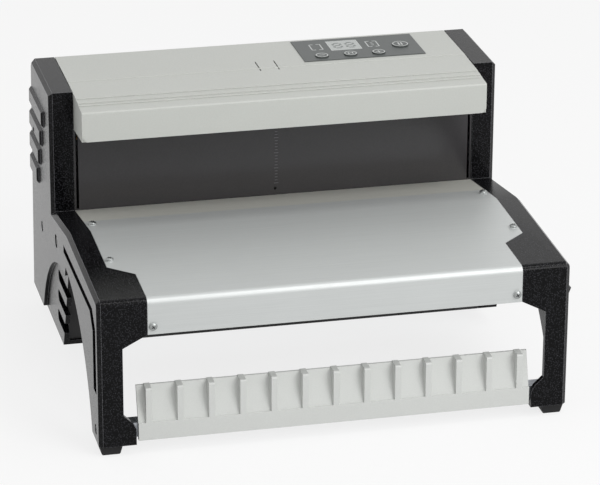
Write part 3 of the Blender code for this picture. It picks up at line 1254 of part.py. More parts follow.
def electronics():
    """Control board on the pan's standoffs, and the supply transformer."""
    low = CONTROL_BOARD_LOW
    high = (low[0] + CONTROL_BOARD_SIZE[0], low[1] + CONTROL_BOARD_SIZE[1])
    board_z = PAN_TOP_Z + CLEAR + STANDOFF_HEIGHT + CLEAR
    top = board_z + BOARD_WALL
    board = box("control_board", (low[0], high[0]), (low[1], high[1]), (board_z, top), BOARD_GREEN)
    for share_x, share_y, size_x, size_y, height in BOARD_BLOCKS:
        x = low[0] + share_x * CONTROL_BOARD_SIZE[0]
        back = low[1] + share_y * CONTROL_BOARD_SIZE[1]
        block = box("board_block", (x, x + size_x), (back, back + size_y), (top - CLEAR, top + height))
        boolean(board, block, 'UNION')
    pan = bpy.data.objects["base_pan"]
    for x in (low[0] + STANDOFF_INSET, high[0] - STANDOFF_INSET):
        for back in (low[1] + STANDOFF_INSET, high[1] - STANDOFF_INSET):
            post = cylinder("standoff", 'Z', (x, back), STANDOFF_RADIUS, FLOOR_Z + PAN_WALL / 2,
                            board_z - CLEAR, sides=SMALL_SIDES)
            boolean(pan, post, 'UNION')

    x = (SUPPLY_LOW[0], SUPPLY_LOW[0] + SUPPLY_SIZE[0])
    back = (SUPPLY_LOW[1], SUPPLY_LOW[1] + SUPPLY_SIZE[1])
    z = (PAN_TOP_Z + CLEAR, PAN_TOP_Z + CLEAR + SUPPLY_SIZE[2])
    m = 2 * COIL_MARGIN
    core = box("transformer_core", (x[0] + m, x[1] - m), back, z, BLACK_STEEL)
    boolean(core, box("core_window", (x[0], x[1]), (back[0] + m, back[1] - m), (z[0] + m, z[1] - m)))
    coil = box("transformer_coil", x, (back[0] + m + CLEAR, back[1] - m - CLEAR),
               (z[0] + m + CLEAR, z[1] - m - CLEAR), COPPER)
    bevel(coil, COIL_MARGIN, 3)


# Operator panel and the main switch

def operator_panel():
    """Panel with its window and four push buttons, and the board under it."""
    top = HEIGHT + PANEL_PROUD
    bottom = HEIGHT - PANEL_BODY
    film = box("panel_overlay", PANEL_X, PANEL_REACH, (HEIGHT + CLEAR / 3, top), PANEL_GREY)
    m = PANEL_MARGIN + CLEAR
    body = box("panel_body", (PANEL_X[0] + m, PANEL_X[1] - m), (PANEL_REACH[0] + m, PANEL_REACH[1] - m),
               (bottom, HEIGHT + PANEL_PROUD / 2))
    boolean(film, body, 'UNION')
    opening = box("window_opening", (WINDOW_X[0] - CLEAR, WINDOW_X[1] + CLEAR),
                  (WINDOW_REACH[0] - CLEAR, WINDOW_REACH[1] + CLEAR), (bottom - OVERRUN, top + OVERRUN))
    boolean(film, opening)
    box("display_window", WINDOW_X, WINDOW_REACH, (top - WINDOW_WALL, top), DISPLAY)

    board_top = HEIGHT - BOARD_DROP
    switch_top = board_top + SWITCH_HEIGHT
    board = box("display_board", (PANEL_X[0] + m, PANEL_X[1] - m), (PANEL_REACH[0] + m, PANEL_REACH[1] - m),
                (board_top - BOARD_WALL, board_top), BOARD_GREEN)
    screen = box("display_block", WINDOW_X, WINDOW_REACH,
                 (board_top - CLEAR, top - WINDOW_WALL - DISPLAY_GAP))
    boolean(board, screen, 'UNION')
    for name, x, back, radius in KEY_PLACES:
        hole = cylinder(name + "_hole", 'Z', (x, back), radius + CLEAR, bottom - OVERRUN, top + OVERRUN)
        boolean(film, hole)
        switch = box(name + "_switch", (x - SWITCH_HALF, x + SWITCH_HALF),
                     (back - SWITCH_HALF, back + SWITCH_HALF), (board_top - CLEAR, switch_top))
        boolean(board, switch, 'UNION')
        skirt_top = bottom - CLEAR
        key = cylinder(name, 'Z', (x, back), radius, skirt_top - KEY_SKIRT_HEIGHT / 2, top + KEY_PROUD,
                       KEY_GREY)
        skirt = cylinder(name + "_skirt", 'Z', (x, back), radius + KEY_SKIRT,
                         skirt_top - KEY_SKIRT_HEIGHT, skirt_top)
        stem = cylinder(name + "_stem", 'Z', (x, back), KEY_STEM / 2, switch_top + KEY_TRAVEL + CLEAR,
                        skirt_top - KEY_SKIRT_HEIGHT / 2, sides=SMALL_SIDES)
        boolean(key, skirt, 'UNION')
        boolean(key, stem, 'UNION')
        place_origin(key, x, back, top)
    inset = STANDOFF_INSET / 2
    for x in (PANEL_X[0] + m + inset, PANEL_X[1] - m - inset):
        for back in (PANEL_REACH[0] + m + inset, PANEL_REACH[1] - m - inset):
            post = cylinder("panel_post", 'Z', (x, back), POST_RADIUS, board_top - CLEAR, bottom - CLEAR,
                            sides=SMALL_SIDES)
            boolean(board, post, 'UNION')


def main_switch():
    """The rocker switch in the right leg: a bezel with its body, and the rocker."""
    wide = BEZEL_WIDTH / 2
    tall = BEZEL_HEIGHT / 2
    face = SIDE_X + CLEAR / 3
    bezel = box("power_switch", (face, SIDE_X + BEZEL_PROUD), (ROCKER_BACK - wide, ROCKER_BACK + wide),
                (ROCKER_Z - tall, ROCKER_Z + tall), BLACK_PLASTIC)
    rim = BEZEL_RIM
    body = box("switch_body", (SIDE_X - SWITCH_BODY_DEPTH, SIDE_X + BEZEL_PROUD / 2),
               (ROCKER_BACK - wide + rim, ROCKER_BACK + wide - rim),
               (ROCKER_Z - tall + rim, ROCKER_Z + tall - rim))
    boolean(bezel, body, 'UNION')
    inner = rim + SWITCH_FLOOR / 2
    mouth = box("switch_mouth", (SIDE_X - SWITCH_BODY_DEPTH + SWITCH_FLOOR, SIDE_X + OVERRUN),
                (ROCKER_BACK - wide + inner, ROCKER_BACK + wide - inner),
                (ROCKER_Z - tall + inner, ROCKER_Z + tall - inner))
    boolean(bezel, mouth)

    gap = inner + 2 * CLEAR
    half = tall - gap - CLEAR
    sink = half * math.tan(ROCKER_TILT)
    level = ROCKER_AXIS_X + ROCKER_PROUD
    profile = [(level + sink, ROCKER_Z + half), (level, ROCKER_Z), (level + sink, ROCKER_Z - half),
               (level + sink - ROCKER_THICK, ROCKER_Z - half + sink),
               (level - ROCKER_THICK, ROCKER_Z), (level + sink - ROCKER_THICK, ROCKER_Z + half - sink)]
    rocker = prism("power_rocker", profile, 'Y', y_at(ROCKER_BACK - wide + gap),
                   y_at(ROCKER_BACK + wide - gap), BLACK_PLASTIC)
    bevel(rocker, ROCKER_ROUND, 2, 30)
    axis = Vector((ROCKER_AXIS_X, y_at(ROCKER_BACK), ROCKER_Z))
    turn = Matrix.Rotation(ROCKER_TILT, 4, 'Y')
    rocker.data.transform(Matrix.Translation(axis) @ turn @ Matrix.Translation(-axis))
    place_origin(rocker, ROCKER_AXIS_X, ROCKER_BACK, ROCKER_Z)


def rear_sockets():
    """The power inlet with its pins, and the round pedal socket."""
    wide = INLET_WIDTH / 2
    tall = INLET_HEIGHT / 2
    face = REAR_PLANE + CLEAR
    flange = box("power_inlet", (INLET_X - wide - INLET_FLANGE, INLET_X + wide + INLET_FLANGE),
                 (face, face + INLET_FLANGE_WALL),
                 (INLET_Z - tall - INLET_FLANGE, INLET_Z + tall + INLET_FLANGE), BLACK_PLASTIC)
    shell = box("inlet_shell", (INLET_X - wide, INLET_X + wide), (face - INLET_DEPTH, face + CLEAR),
                (INLET_Z - tall, INLET_Z + tall))
    w = INLET_WALL
    mouth = box("inlet_mouth", (INLET_X - wide + w, INLET_X + wide - w), (face - INLET_DEPTH + w, DEPTH + OVERRUN),
                (INLET_Z - tall + w, INLET_Z + tall - w))
    for obj in (flange, shell, mouth):
        lean(obj)
    boolean(flange, shell, 'UNION')
    boolean(flange, mouth)
    floor = face - INLET_DEPTH + w + CLEAR
    block = box("inlet_contacts", (INLET_X - PIN_SPREAD - PIN_HEIGHT, INLET_X + PIN_SPREAD + PIN_HEIGHT),
                (floor, floor + PIN_BLOCK), (INLET_Z - PIN_HEIGHT - PIN_RISE, INLET_Z + PIN_HEIGHT + PIN_RISE),
                BRIGHT_STEEL)
    lean(block)
    for x, z in ((-PIN_SPREAD, -PIN_RISE), (0, PIN_RISE), (PIN_SPREAD, -PIN_RISE)):
        pin = box("pin", (INLET_X + x - PIN_WIDTH / 2, INLET_X + x + PIN_WIDTH / 2),
                  (floor + CLEAR, floor + PIN_LENGTH),
                  (INLET_Z + z - PIN_HEIGHT / 2, INLET_Z + z + PIN_HEIGHT / 2))
        boolean(block, lean(pin), 'UNION')

    place = (SOCKET_X, SOCKET_Z)
    nut = cylinder("pedal_socket", 'Y', place, SOCKET_NUT_RADIUS, face, face + SOCKET_NUT, BLACK_PLASTIC)
    barrel = cylinder("socket_barrel", 'Y', place, SOCKET_RADIUS, face - SOCKET_DEPTH - w, face + CLEAR)
    bore = cylinder("socket_bore", 'Y', place, SOCKET_BORE, face - SOCKET_DEPTH, DEPTH + OVERRUN)
    for obj in (nut, barrel, bore):
        lean(obj)
    boolean(nut, barrel, 'UNION')
    boolean(nut, bore)


def main():
    """Build every piece of the machine."""
    side_frames()
    chassis_plates()
    base_pan()
    lower_front_panel()
    throat_back_panel()
    rear_cover()
    head_cover()
    bed_and_beam()
    work_table()
    table_brackets()
    comb_rail()
    front_tie_bar()
    feet()
    closing_bar()
    carriages()
    racks()
    gear_train()
    gear_motor()
    electronics()
    operator_panel()
    main_switch()
    rear_sockets()


main()
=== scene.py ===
"""Looks of a desktop electric wire closing machine.

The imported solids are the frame. This file dresses them: soft edges on the
moulded and folded pieces, real finishes, the print on the operator panel, screw
and bolt recesses, the sheet scale in the throat, and the studio around it all.
Everything is in metres, +X to the operator's right, -Y towards the operator.
"""

from __future__ import annotations

import logging
import math
from dataclasses import dataclass, field
from enum import Enum
from typing import Any, Sequence

import bmesh
import bpy
from mathutils import Matrix, Vector

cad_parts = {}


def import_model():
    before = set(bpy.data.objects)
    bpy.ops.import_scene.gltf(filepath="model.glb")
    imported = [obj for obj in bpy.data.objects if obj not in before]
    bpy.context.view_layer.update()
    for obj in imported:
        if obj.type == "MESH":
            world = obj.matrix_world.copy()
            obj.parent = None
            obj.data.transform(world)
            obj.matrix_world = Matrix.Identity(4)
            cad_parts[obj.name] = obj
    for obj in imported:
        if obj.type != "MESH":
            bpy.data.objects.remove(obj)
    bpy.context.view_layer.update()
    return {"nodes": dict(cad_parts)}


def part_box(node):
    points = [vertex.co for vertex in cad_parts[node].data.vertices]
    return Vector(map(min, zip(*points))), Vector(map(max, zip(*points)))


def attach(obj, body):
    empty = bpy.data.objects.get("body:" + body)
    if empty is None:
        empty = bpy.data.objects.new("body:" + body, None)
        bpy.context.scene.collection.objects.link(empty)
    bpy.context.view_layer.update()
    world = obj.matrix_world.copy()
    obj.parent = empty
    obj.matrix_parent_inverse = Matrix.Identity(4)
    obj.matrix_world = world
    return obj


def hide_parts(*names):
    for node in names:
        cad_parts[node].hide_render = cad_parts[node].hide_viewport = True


LOG = logging.getLogger("wire_closer")
MM = 0.001
# Size of the slow unevenness of a large surface, in mm.
BROAD_MM = 60.0
# How many times longer than wide a brushed streak is.
STREAK = 120
# From a key's widest edge in to its flat top, and from there in to its print.
KEY_SKIRT = 0.0012
INK_INSET = 0.0002
WHITE = "#FFFFFF"


class Body(str, Enum):
    """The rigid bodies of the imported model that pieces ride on."""

    MACHINE = "machine"
    HEAD = "closing_head"
    SHAFT = "shaft_set"
    MOTOR = "motor_drive"
    MINUS = "minus_key"
    MODE = "mode_key"
    PLUS = "plus_key"
    START = "start_key"
    ROCKER = "rocker"


class Grain(Enum):
    """How a surface was made, which decides its pattern."""

    PEBBLED = "pebbled"
    BRUSHED = "brushed"
    SPRAYED = "sprayed"
    GROUND = "ground"
    SPANGLED = "spangled"
    MOULDED = "moulded"


def linear(hex_colour: str) -> tuple[float, float, float, float]:
    """Turn an sRGB hex colour into the linear values that shaders use.

    Args:
        hex_colour: Six hex digits with or without a leading #.

    Returns:
        Linear red, green, blue and an alpha of 1.
    """
    digits = hex_colour.lstrip("#")
    channels = []
    for i in (0, 2, 4):
        value = int(digits[i:i + 2], 16) / 255
        channels.append(value / 12.92 if value <= 0.04045 else ((value + 0.055) / 1.055) ** 2.4)
    return channels[0], channels[1], channels[2], 1.0


def add_node(
    tree: bpy.types.NodeTree,
    kind: str,
    values: dict[Any, Any] | None = None,
    links: dict[Any, bpy.types.NodeSocket] | None = None,
    **settings: Any,
) -> bpy.types.Node:
    """Add one node with its settings, socket values and links.

    Args:
        tree: The node tree that receives the node.
        kind: The node's type name.
        values: Default values by input socket name or number.
        links: Sockets to connect, by input socket name or number.
        **settings: Properties of the node itself.

    Returns:
        The new node.
    """
    node = tree.nodes.new(kind)
    for key, value in settings.items():
        setattr(node, key, value)
    for key, value in (values or {}).items():
        node.inputs[key].default_value = value
    for key, socket in (links or {}).items():
        tree.links.new(socket, node.inputs[key])
    return node


@dataclass(frozen=True)
class Finish:
    """One real finish: what it is made of and how its surface was made.

    Attributes:
        name: The finish in a maker's words.
        colour: Main sRGB colour.
        shade: Second sRGB colour that the pattern mixes in.
        grain: How the surface was made.
        size_mm: Real size of the pattern's features.
        relief_mm: Height of the surface's relief.
        roughness: Lowest and highest roughness over the pattern.
        metallic: 1 for bare metal, less for anodised or phosphated metal, and 0 for
            paint, plastic and rubber.
        ior: Index of refraction of paint, plastic and rubber.
        reach: Lowest and highest pattern value, which show the two colours unmixed.
        cloud: Share of the slow unevenness in the mix of the two colours.
    """

    name: str
    colour: str
    shade: str
    grain: Grain
    size_mm: float
    relief_mm: float
    roughness: tuple[float, float]
    metallic: float = 0.0
    ior: float = 1.5
    reach: tuple[float, float] = (0.25, 0.75)
    cloud: float = 0.35

    def material(self) -> bpy.types.Material:
        """Return this finish as a material, made once."""
        ready = bpy.data.materials.get(self.name)
        if ready is not None:
            return ready
        mat = bpy.data.materials.new(self.name)
        mat.use_nodes = True
        tree = mat.node_tree
        tree.nodes.clear()
        pattern = self._pattern(tree)
        broad = self._broad(tree)
        fine = add_node(tree, "ShaderNodeMapRange",
                        {"From Min": self.reach[0], "From Max": self.reach[1]},
                        {"Value": pattern})
        blend = add_node(tree, "ShaderNodeMath", {1: self.cloud}, {0: broad},
                         operation="MULTIPLY")
        share = add_node(tree, "ShaderNodeMath", {1: 1 - self.cloud},
                         {0: fine.outputs["Result"], 2: blend.outputs[0]},
                         operation="MULTIPLY_ADD")
        colour = add_node(tree, "ShaderNodeMix",
                          {6: linear(self.colour), 7: linear(self.shade)},
                          {0: share.outputs[0]}, data_type="RGBA")
        rough = add_node(tree, "ShaderNodeMapRange",
                         {"To Min": self.roughness[0], "To Max": self.roughness[1]},
                         {"Value": share.outputs[0]})
        bump = add_node(tree, "ShaderNodeBump",
                        {"Strength": 1.0, "Distance": self.relief_mm * MM},
                        {"Height": pattern})
        shader = add_node(tree, "ShaderNodeBsdfPrincipled",
                          {"Metallic": self.metallic},
                          {"Base Color": colour.outputs[2], "Roughness": rough.outputs["Result"],
                           "Normal": bump.outputs["Normal"]})
        if not self.metallic:
            shader.inputs["IOR"].default_value = self.ior
        add_node(tree, "ShaderNodeOutputMaterial", None, {"Surface": shader.outputs[0]})
        return mat

    @staticmethod
    def _place(
        tree: bpy.types.NodeTree,
        scale: tuple[float, float, float],
    ) -> bpy.types.NodeSocket:
        """Return Object coordinates scaled so that one unit is one feature."""
        where = add_node(tree, "ShaderNodeTexCoord")
        mapping = add_node(tree, "ShaderNodeMapping", {"Scale": scale},
                           {"Vector": where.outputs["Object"]})
        return mapping.outputs["Vector"]

    def _broad(self, tree: bpy.types.NodeTree) -> bpy.types.NodeSocket:
        """Return the slow unevenness that any large surface has."""
        per_metre = 1 / (BROAD_MM * MM)
        place = self._place(tree, (per_metre, per_metre, per_metre))
        noise = add_node(tree, "ShaderNodeTexNoise",
                         {"Scale": 1.0, "Detail": 3.0, "Roughness": 0.6},
                         {"Vector": place})
        return noise.outputs["Fac"]

    def _pattern(self, tree: bpy.types.NodeTree) -> bpy.types.NodeSocket:
        """Return the fine pattern of the surface as a value from 0 to 1."""
        per_metre = 1 / (self.size_mm * MM)
        even = (per_metre, per_metre, per_metre)
        if self.grain is Grain.PEBBLED:
            cells = add_node(tree, "ShaderNodeTexVoronoi", {"Scale": 1.0, "Smoothness": 0.4},
                             {"Vector": self._place(tree, even)}, feature="SMOOTH_F1")
            height = add_node(tree, "ShaderNodeMath", {0: 1.0},
                              {1: cells.outputs["Distance"]}, operation="SUBTRACT")
            return height.outputs[0]
        if self.grain is Grain.BRUSHED:
            stretched = (per_metre / STREAK, per_metre, per_metre)
            lines = add_node(tree, "ShaderNodeTexNoise",
                             {"Scale": 1.0, "Detail": 4.0, "Roughness": 0.7},
                             {"Vector": self._place(tree, stretched)})
            return lines.outputs["Fac"]
        if self.grain is Grain.SPANGLED:
            cells = add_node(tree, "ShaderNodeTexVoronoi", {"Scale": 1.0},
                             {"Vector": self._place(tree, even)}, feature="F1")
            return cells.outputs["Distance"]
        detail = {Grain.SPRAYED: 2.0, Grain.GROUND: 6.0, Grain.MOULDED: 3.0}[self.grain]
        noise = add_node(tree, "ShaderNodeTexNoise", {"Scale": 1.0, "Detail": detail},
                         {"Vector": self._place(tree, even)})
        return noise.outputs["Fac"]


# Structural foam from a textured mould, gloss black: deep black where it faces the room,
# pale where it is seen along its surface, with a painted highlight on each pebble: its top is
# coloured a lighter grey.
# The real pebbles are about 0.6 mm across, drawn at 1.4 mm so that they show.
SHELL = Finish("pebbled_black_structural_foam", "#050506", "#39393D", Grain.PEBBLED, 1.4, 0.09,
               (0.16, 0.30), ior=1.21, reach=(0.55, 0.95), cloud=0.03)
# The same foam on its rounded edges, painted a much lighter grey than its faces, with a lower
# relief: a painted highlight along every rounded edge.
SHELL_EDGE_HIGHLIGHT = Finish("black_foam_edge_painted_highlight", "#5A5A5E", "#8A8A8E", Grain.PEBBLED, 1.4, 0.02,
                    (0.12, 0.2), ior=1.5)
# Powder coat in a pale warm grey: satin, with a faint orange peel.
COVER = Finish("warm_grey_powder_coat", "#C9CBC6", "#C2C4BF", Grain.SPRAYED, 1.4, 0.012,
               (0.42, 0.52))
# Sheet brushed along its length and clear anodised: soft streaks across the table.
TABLE = Finish("brushed_anodised_aluminium", "#CFD2D1", "#C1C4C3", Grain.BRUSHED, 0.7, 0.004,
               (0.38, 0.5), metallic=0.38)
# Dark satin paint on the throat panel: a faint blurred image of the table in it.
THROAT_PAINT = Finish("dark_grey_satin_paint", "#343234", "#2E2C2E", Grain.SPRAYED, 1.2,
                      0.008, (0.2, 0.28))
# Plain black paint on the lower panel, which stands in the shade.
LOWER_PAINT = Finish("black_satin_paint", "#161516", "#1C1B1C", Grain.SPRAYED, 1.2, 0.01,
                     (0.45, 0.6))
# Ground and phosphated steel of the bed: pale warm grey, nearly matte.
BED = Finish("ground_phosphated_steel", "#CDCDC6", "#BCBCB4", Grain.BRUSHED, 0.6, 0.004,
             (0.45, 0.6), metallic=0.25)
# Electroplated zinc: bluish, slightly spangled.
ZINC = Finish("bright_zinc_plate", "#B9BDC2", "#A9ADB3", Grain.SPANGLED, 4.0, 0.004,
              (0.3, 0.45), metallic=1.0)
# Baked enamel over pressed steel: deep black with a faint orange peel.
ENAMEL = Finish("black_stove_enamel", "#19191A", "#202021", Grain.SPRAYED, 1.0, 0.012,
                (0.3, 0.42))
# Injection-moulded ABS in pale grey from a lightly eroded mould: even and soft.
RAIL = Finish("pale_grey_moulded_abs", "#D3D5D2", "#CBCDCA", Grain.MOULDED, 0.9, 0.01,
              (0.4, 0.5))
# Moulded rubber: matte, with a fine dusty grain.
RUBBER = Finish("black_nitrile_rubber", "#151516", "#1F1F20", Grain.GROUND, 0.8, 0.02, (0.75, 0.9))
# Ground bar: bright along its length.
GROUND_STEEL = Finish("ground_silver_steel", "#C9CACB", "#B9BABC", Grain.BRUSHED, 0.35, 0.003,
                      (0.18, 0.3), metallic=1.0)
# Nickel-plated screws: satin, a little tarnished.
SCREW_STEEL = Finish("nickel_plated_steel", "#A9ACAB", "#8F9291", Grain.GROUND, 0.6, 0.003,
                     (0.3, 0.42), metallic=1.0)
# Sintered bearing metal: brown gold, dull from its pores.
BRONZE = Finish("oil_filled_sintered_bronze", "#A8824E", "#8F6C3E", Grain.GROUND, 0.5, 0.01,
                (0.4, 0.55), metallic=1.0)
# Cast nylon: ivory, waxy.
NYLON = Finish("natural_cast_nylon", "#E3E0D3", "#D9D5C6", Grain.MOULDED, 1.5, 0.008, (0.35, 0.45))
# Reverse-printed polyester film: even dark grey with a fine matte grain.
FILM = Finish("grey_polyester_film", "#565A59", "#505453", Grain.GROUND, 0.6, 0.002,
              (0.36, 0.44), ior=1.4)
# Screen ink on the film: off-white, slightly uneven.
WHITE_INK = Finish("white_screen_ink", "#CFD2D0", "#BFC2C0", Grain.GROUND, 0.5, 0.001,
                   (0.4, 0.5))
# Display glass over a pale reflector: light grey, with a clear gloss.
DISPLAY = Finish("pale_reflective_display", "#B7BBB9", "#ADB1AF", Grain.GROUND, 0.8, 0.001,
                 (0.18, 0.26))
# The display's segments: mid grey, one step darker than the glass round them.
SEGMENT = Finish("display_segment_grey", "#6C716F", "#646967", Grain.GROUND, 0.8, 0.001,
                 (0.25, 0.3))
# Circuit board lacquer: green, glossy over the copper tracks.
SOLDER_MASK = Finish("green_solder_mask", "#1F6B45", "#1A5F3C", Grain.GROUND, 0.8, 0.01,
                     (0.3, 0.4))
# Black ABS of switch and sockets: smooth, with soft highlights.
BLACK_ABS = Finish("black_moulded_abs", "#161617", "#1C1C1D", Grain.MOULDED, 0.8, 0.006,
                   (0.28, 0.4))
# Enamelled copper wire in layers: reddish lines.
WINDING = Finish("enamelled_copper_winding", "#A9653A", "#8E5230", Grain.BRUSHED, 0.8, 0.05,
                 (0.3, 0.4), metallic=1.0)
# The shade at the bottom of a driver's recess.
RECESS = Finish("shaded_tool_recess", "#2A2B2B", "#202121", Grain.GROUND, 0.4, 0.002,
                (0.5, 0.6))
# Printing ink one step lighter than the paint it lies on.
SCALE_INK = Finish("grey_scale_ink", "#5E5D62", "#56555A", Grain.GROUND, 0.5, 0.001,
                   (0.4, 0.5))


def new_piece(
    name: str,
    mesh: bmesh.types.BMesh,
    finish: Finish,
    body: Body,
) -> bpy.types.Object:
    """Turn a bmesh into a piece that rides on a body.

    Args:
        name: The piece's name.
        mesh: The finished bmesh, which is freed here.
        finish: The finish it shows.
        body: The body that carries it.

    Returns:
        The new object.
    """
    bmesh.ops.recalc_face_normals(mesh, faces=mesh.faces)
    data = bpy.data.meshes.new(name)
    mesh.to_mesh(data)
    mesh.free()
    data.materials.append(finish.material())
    obj = bpy.data.objects.new(name, data)
    bpy.context.scene.collection.objects.link(obj)
    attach(obj, body.value)
    LOG.info("piece %s rides on %s", name, body.value)
    return obj


def put_box(mesh: bmesh.types.BMesh, centre: Vector, size: Vector) -> None:
    """Add a block to a bmesh.

    Args:
        mesh: The bmesh.
        centre: Middle of the block.
        size: Its full sizes.
    """
    made = bmesh.ops.create_cube(mesh, size=1)["verts"]
    bmesh.ops.scale(mesh, vec=size, verts=made)
    bmesh.ops.translate(mesh, vec=centre, verts=made)


def put_disc(
    mesh: bmesh.types.BMesh,
    place: Matrix,
    radius: float,
    height: float,
    sides: int,
    top: float | None = None,
) -> None:
    """Add a low round or many-sided block to a bmesh.

    Args:
        mesh: The bmesh.
        place: Where its middle lies and how it is turned.
        radius: Radius at its base.
        height: Its height along its own Z.
        sides: Number of sides.
        top: Radius at its top, if different.
    """
    bmesh.ops.create_cone(mesh, cap_ends=True, segments=sides, radius1=radius,
                          radius2=radius if top is None else top, depth=height,
                          matrix=place)


def put_ring(
    mesh: bmesh.types.BMesh,
    centre: Vector,
    outer: float,
    inner: float,
    height: float,
    sides: int = 40,
) -> None:
    """Add a flat ring to a bmesh by spinning its section.

    Args:
        mesh: The bmesh.
        centre: Middle of the ring's base.
        outer: Outer radius.
        inner: Inner radius.
        height: Thickness upwards.
        sides: Steps around the ring.
    """
    corners = ((inner, 0), (outer, 0), (outer, height), (inner, height))
    verts = [mesh.verts.new(centre + Vector((r, 0, z))) for r, z in corners]
    edges = [mesh.edges.new((verts[i], verts[(i + 1) % len(verts)]))
             for i in range(len(verts))]
    bmesh.ops.spin(mesh, geom=verts + edges, cent=centre, axis=(0, 0, 1), angle=math.tau,
                   steps=sides, use_merge=True)


@dataclass
class SoftEdges:
    """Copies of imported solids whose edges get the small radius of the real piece.

    Attributes:
        nodes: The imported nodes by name.
        merge: Points closer than this become one.
        flat: Faces that meet at less than this angle become one.
        segments: Steps over each rounded edge.
        angle: Edges that turn by more than this angle are rounded.
    """

    nodes: dict[str, bpy.types.Object]
    merge: float = 0.00002
    flat: float = math.radians(0.6)
    segments: int = 2
    angle: float = math.radians(28.0)

    def soften(
        self,
        node: str,
        finish: Finish,
        slot: str,
        radius: float,
        edge_highlight: Finish | None = None,
    ) -> bpy.types.Object:
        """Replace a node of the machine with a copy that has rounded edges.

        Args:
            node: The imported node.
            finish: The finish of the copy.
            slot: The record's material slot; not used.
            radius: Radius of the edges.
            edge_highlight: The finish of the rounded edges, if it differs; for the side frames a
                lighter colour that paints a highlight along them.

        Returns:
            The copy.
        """
        mesh = bmesh.new()
        mesh.from_mesh(self.nodes[node].data)
        bmesh.ops.remove_doubles(mesh, verts=mesh.verts, dist=self.merge)
        bmesh.ops.dissolve_limit(mesh, angle_limit=self.flat, verts=mesh.verts,
                                 edges=mesh.edges)
        obj = new_piece(node + "_rounded", mesh, finish, Body.MACHINE)
        edge = obj.modifiers.new("edge_radius", 'BEVEL')
        edge.width = radius
        edge.segments = self.segments
        edge.limit_method = 'ANGLE'
        edge.angle_limit = self.angle
        edge.use_clamp_overlap = True
        # The rounded edges take the second material, whose lighter colour paints a highlight on
        # them.
        if edge_highlight is not None:
            obj.data.materials.append(edge_highlight.material())
            edge.material = 1
        obj.data.shade_smooth()
        obj.data.set_sharp_from_angle(angle=self.angle)
        normals = obj.modifiers.new("face_normals", 'WEIGHTED_NORMAL')
        normals.keep_sharp = False
        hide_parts(node)
        return obj


@dataclass
class Casing:
    """Moulded side frames, front feet, head cover, table, bed and comb rail.

    Attributes:
        soft: The maker of the rounded copies.
        frame_radius: Edge radius of the side frames.
        cover_radius: Edge radius of the head cover.
        table_radius: Edge radius of the table and the bed.
        rail_radius: Edge radius of the comb rail.
        foot_radius: Edge radius of the front feet.
    """

    soft: SoftEdges
    frame_radius: float = 0.0009
    cover_radius: float = 0.0008
    table_radius: float = 0.0003
    rail_radius: float = 0.0006
    foot_radius: float = 0.0012

    def build(self) -> None:
        """Round the edges of the outer pieces and give them their finishes."""
        for side in ("left", "right"):
            self.soft.soften(f"{side}_side_frame", SHELL, "shell", self.frame_radius,
                             edge_highlight=SHELL_EDGE_HIGHLIGHT)
            self.soft.soften(f"{side}_front_foot", RUBBER, "rubber", self.foot_radius)
        self.soft.soften("head_cover", COVER, "cover", self.cover_radius)
        self.soft.soften("comb_rail", RAIL, "rail", self.rail_radius)
        self.soft.soften("work_table", TABLE, "table", self.table_radius)
        self.soft.soften("closing_bed", BED, "bed", self.table_radius)


@dataclass
class CoverLines:
    """The fine raised lines along the head cover's steps and crease.

    Attributes:
        half: Half of a line's length.
        width: Its width.
        proud: How far it stands above the cover.
        edge_share: Its bevel as a share of that.
        places: Depth and height of each line.
    """

    half: float = 0.1893
    width: float = 0.0013
    proud: float = 0.0004
    edge_share: float = 0.6
    places: Sequence[tuple[float, float]] = (
        (0.0270, 0.25136), (0.0325, 0.25206), (0.0425, 0.25291), (0.0870, 0.25450))

    def build(self) -> None:
        """Lay each line across the cover."""
        mesh = bmesh.new()
        for y, z in self.places:
            put_box(mesh, Vector((0, y, z)),
                    Vector((2 * self.half, self.width, 2 * self.proud)))
        bmesh.ops.bevel(mesh, geom=mesh.edges[:], offset=self.proud * self.edge_share,
                        offset_type='OFFSET', segments=1, profile=0.5, affect='EDGES',
                        material=-1)
        new_piece("cover_lines", mesh, COVER, Body.MACHINE)


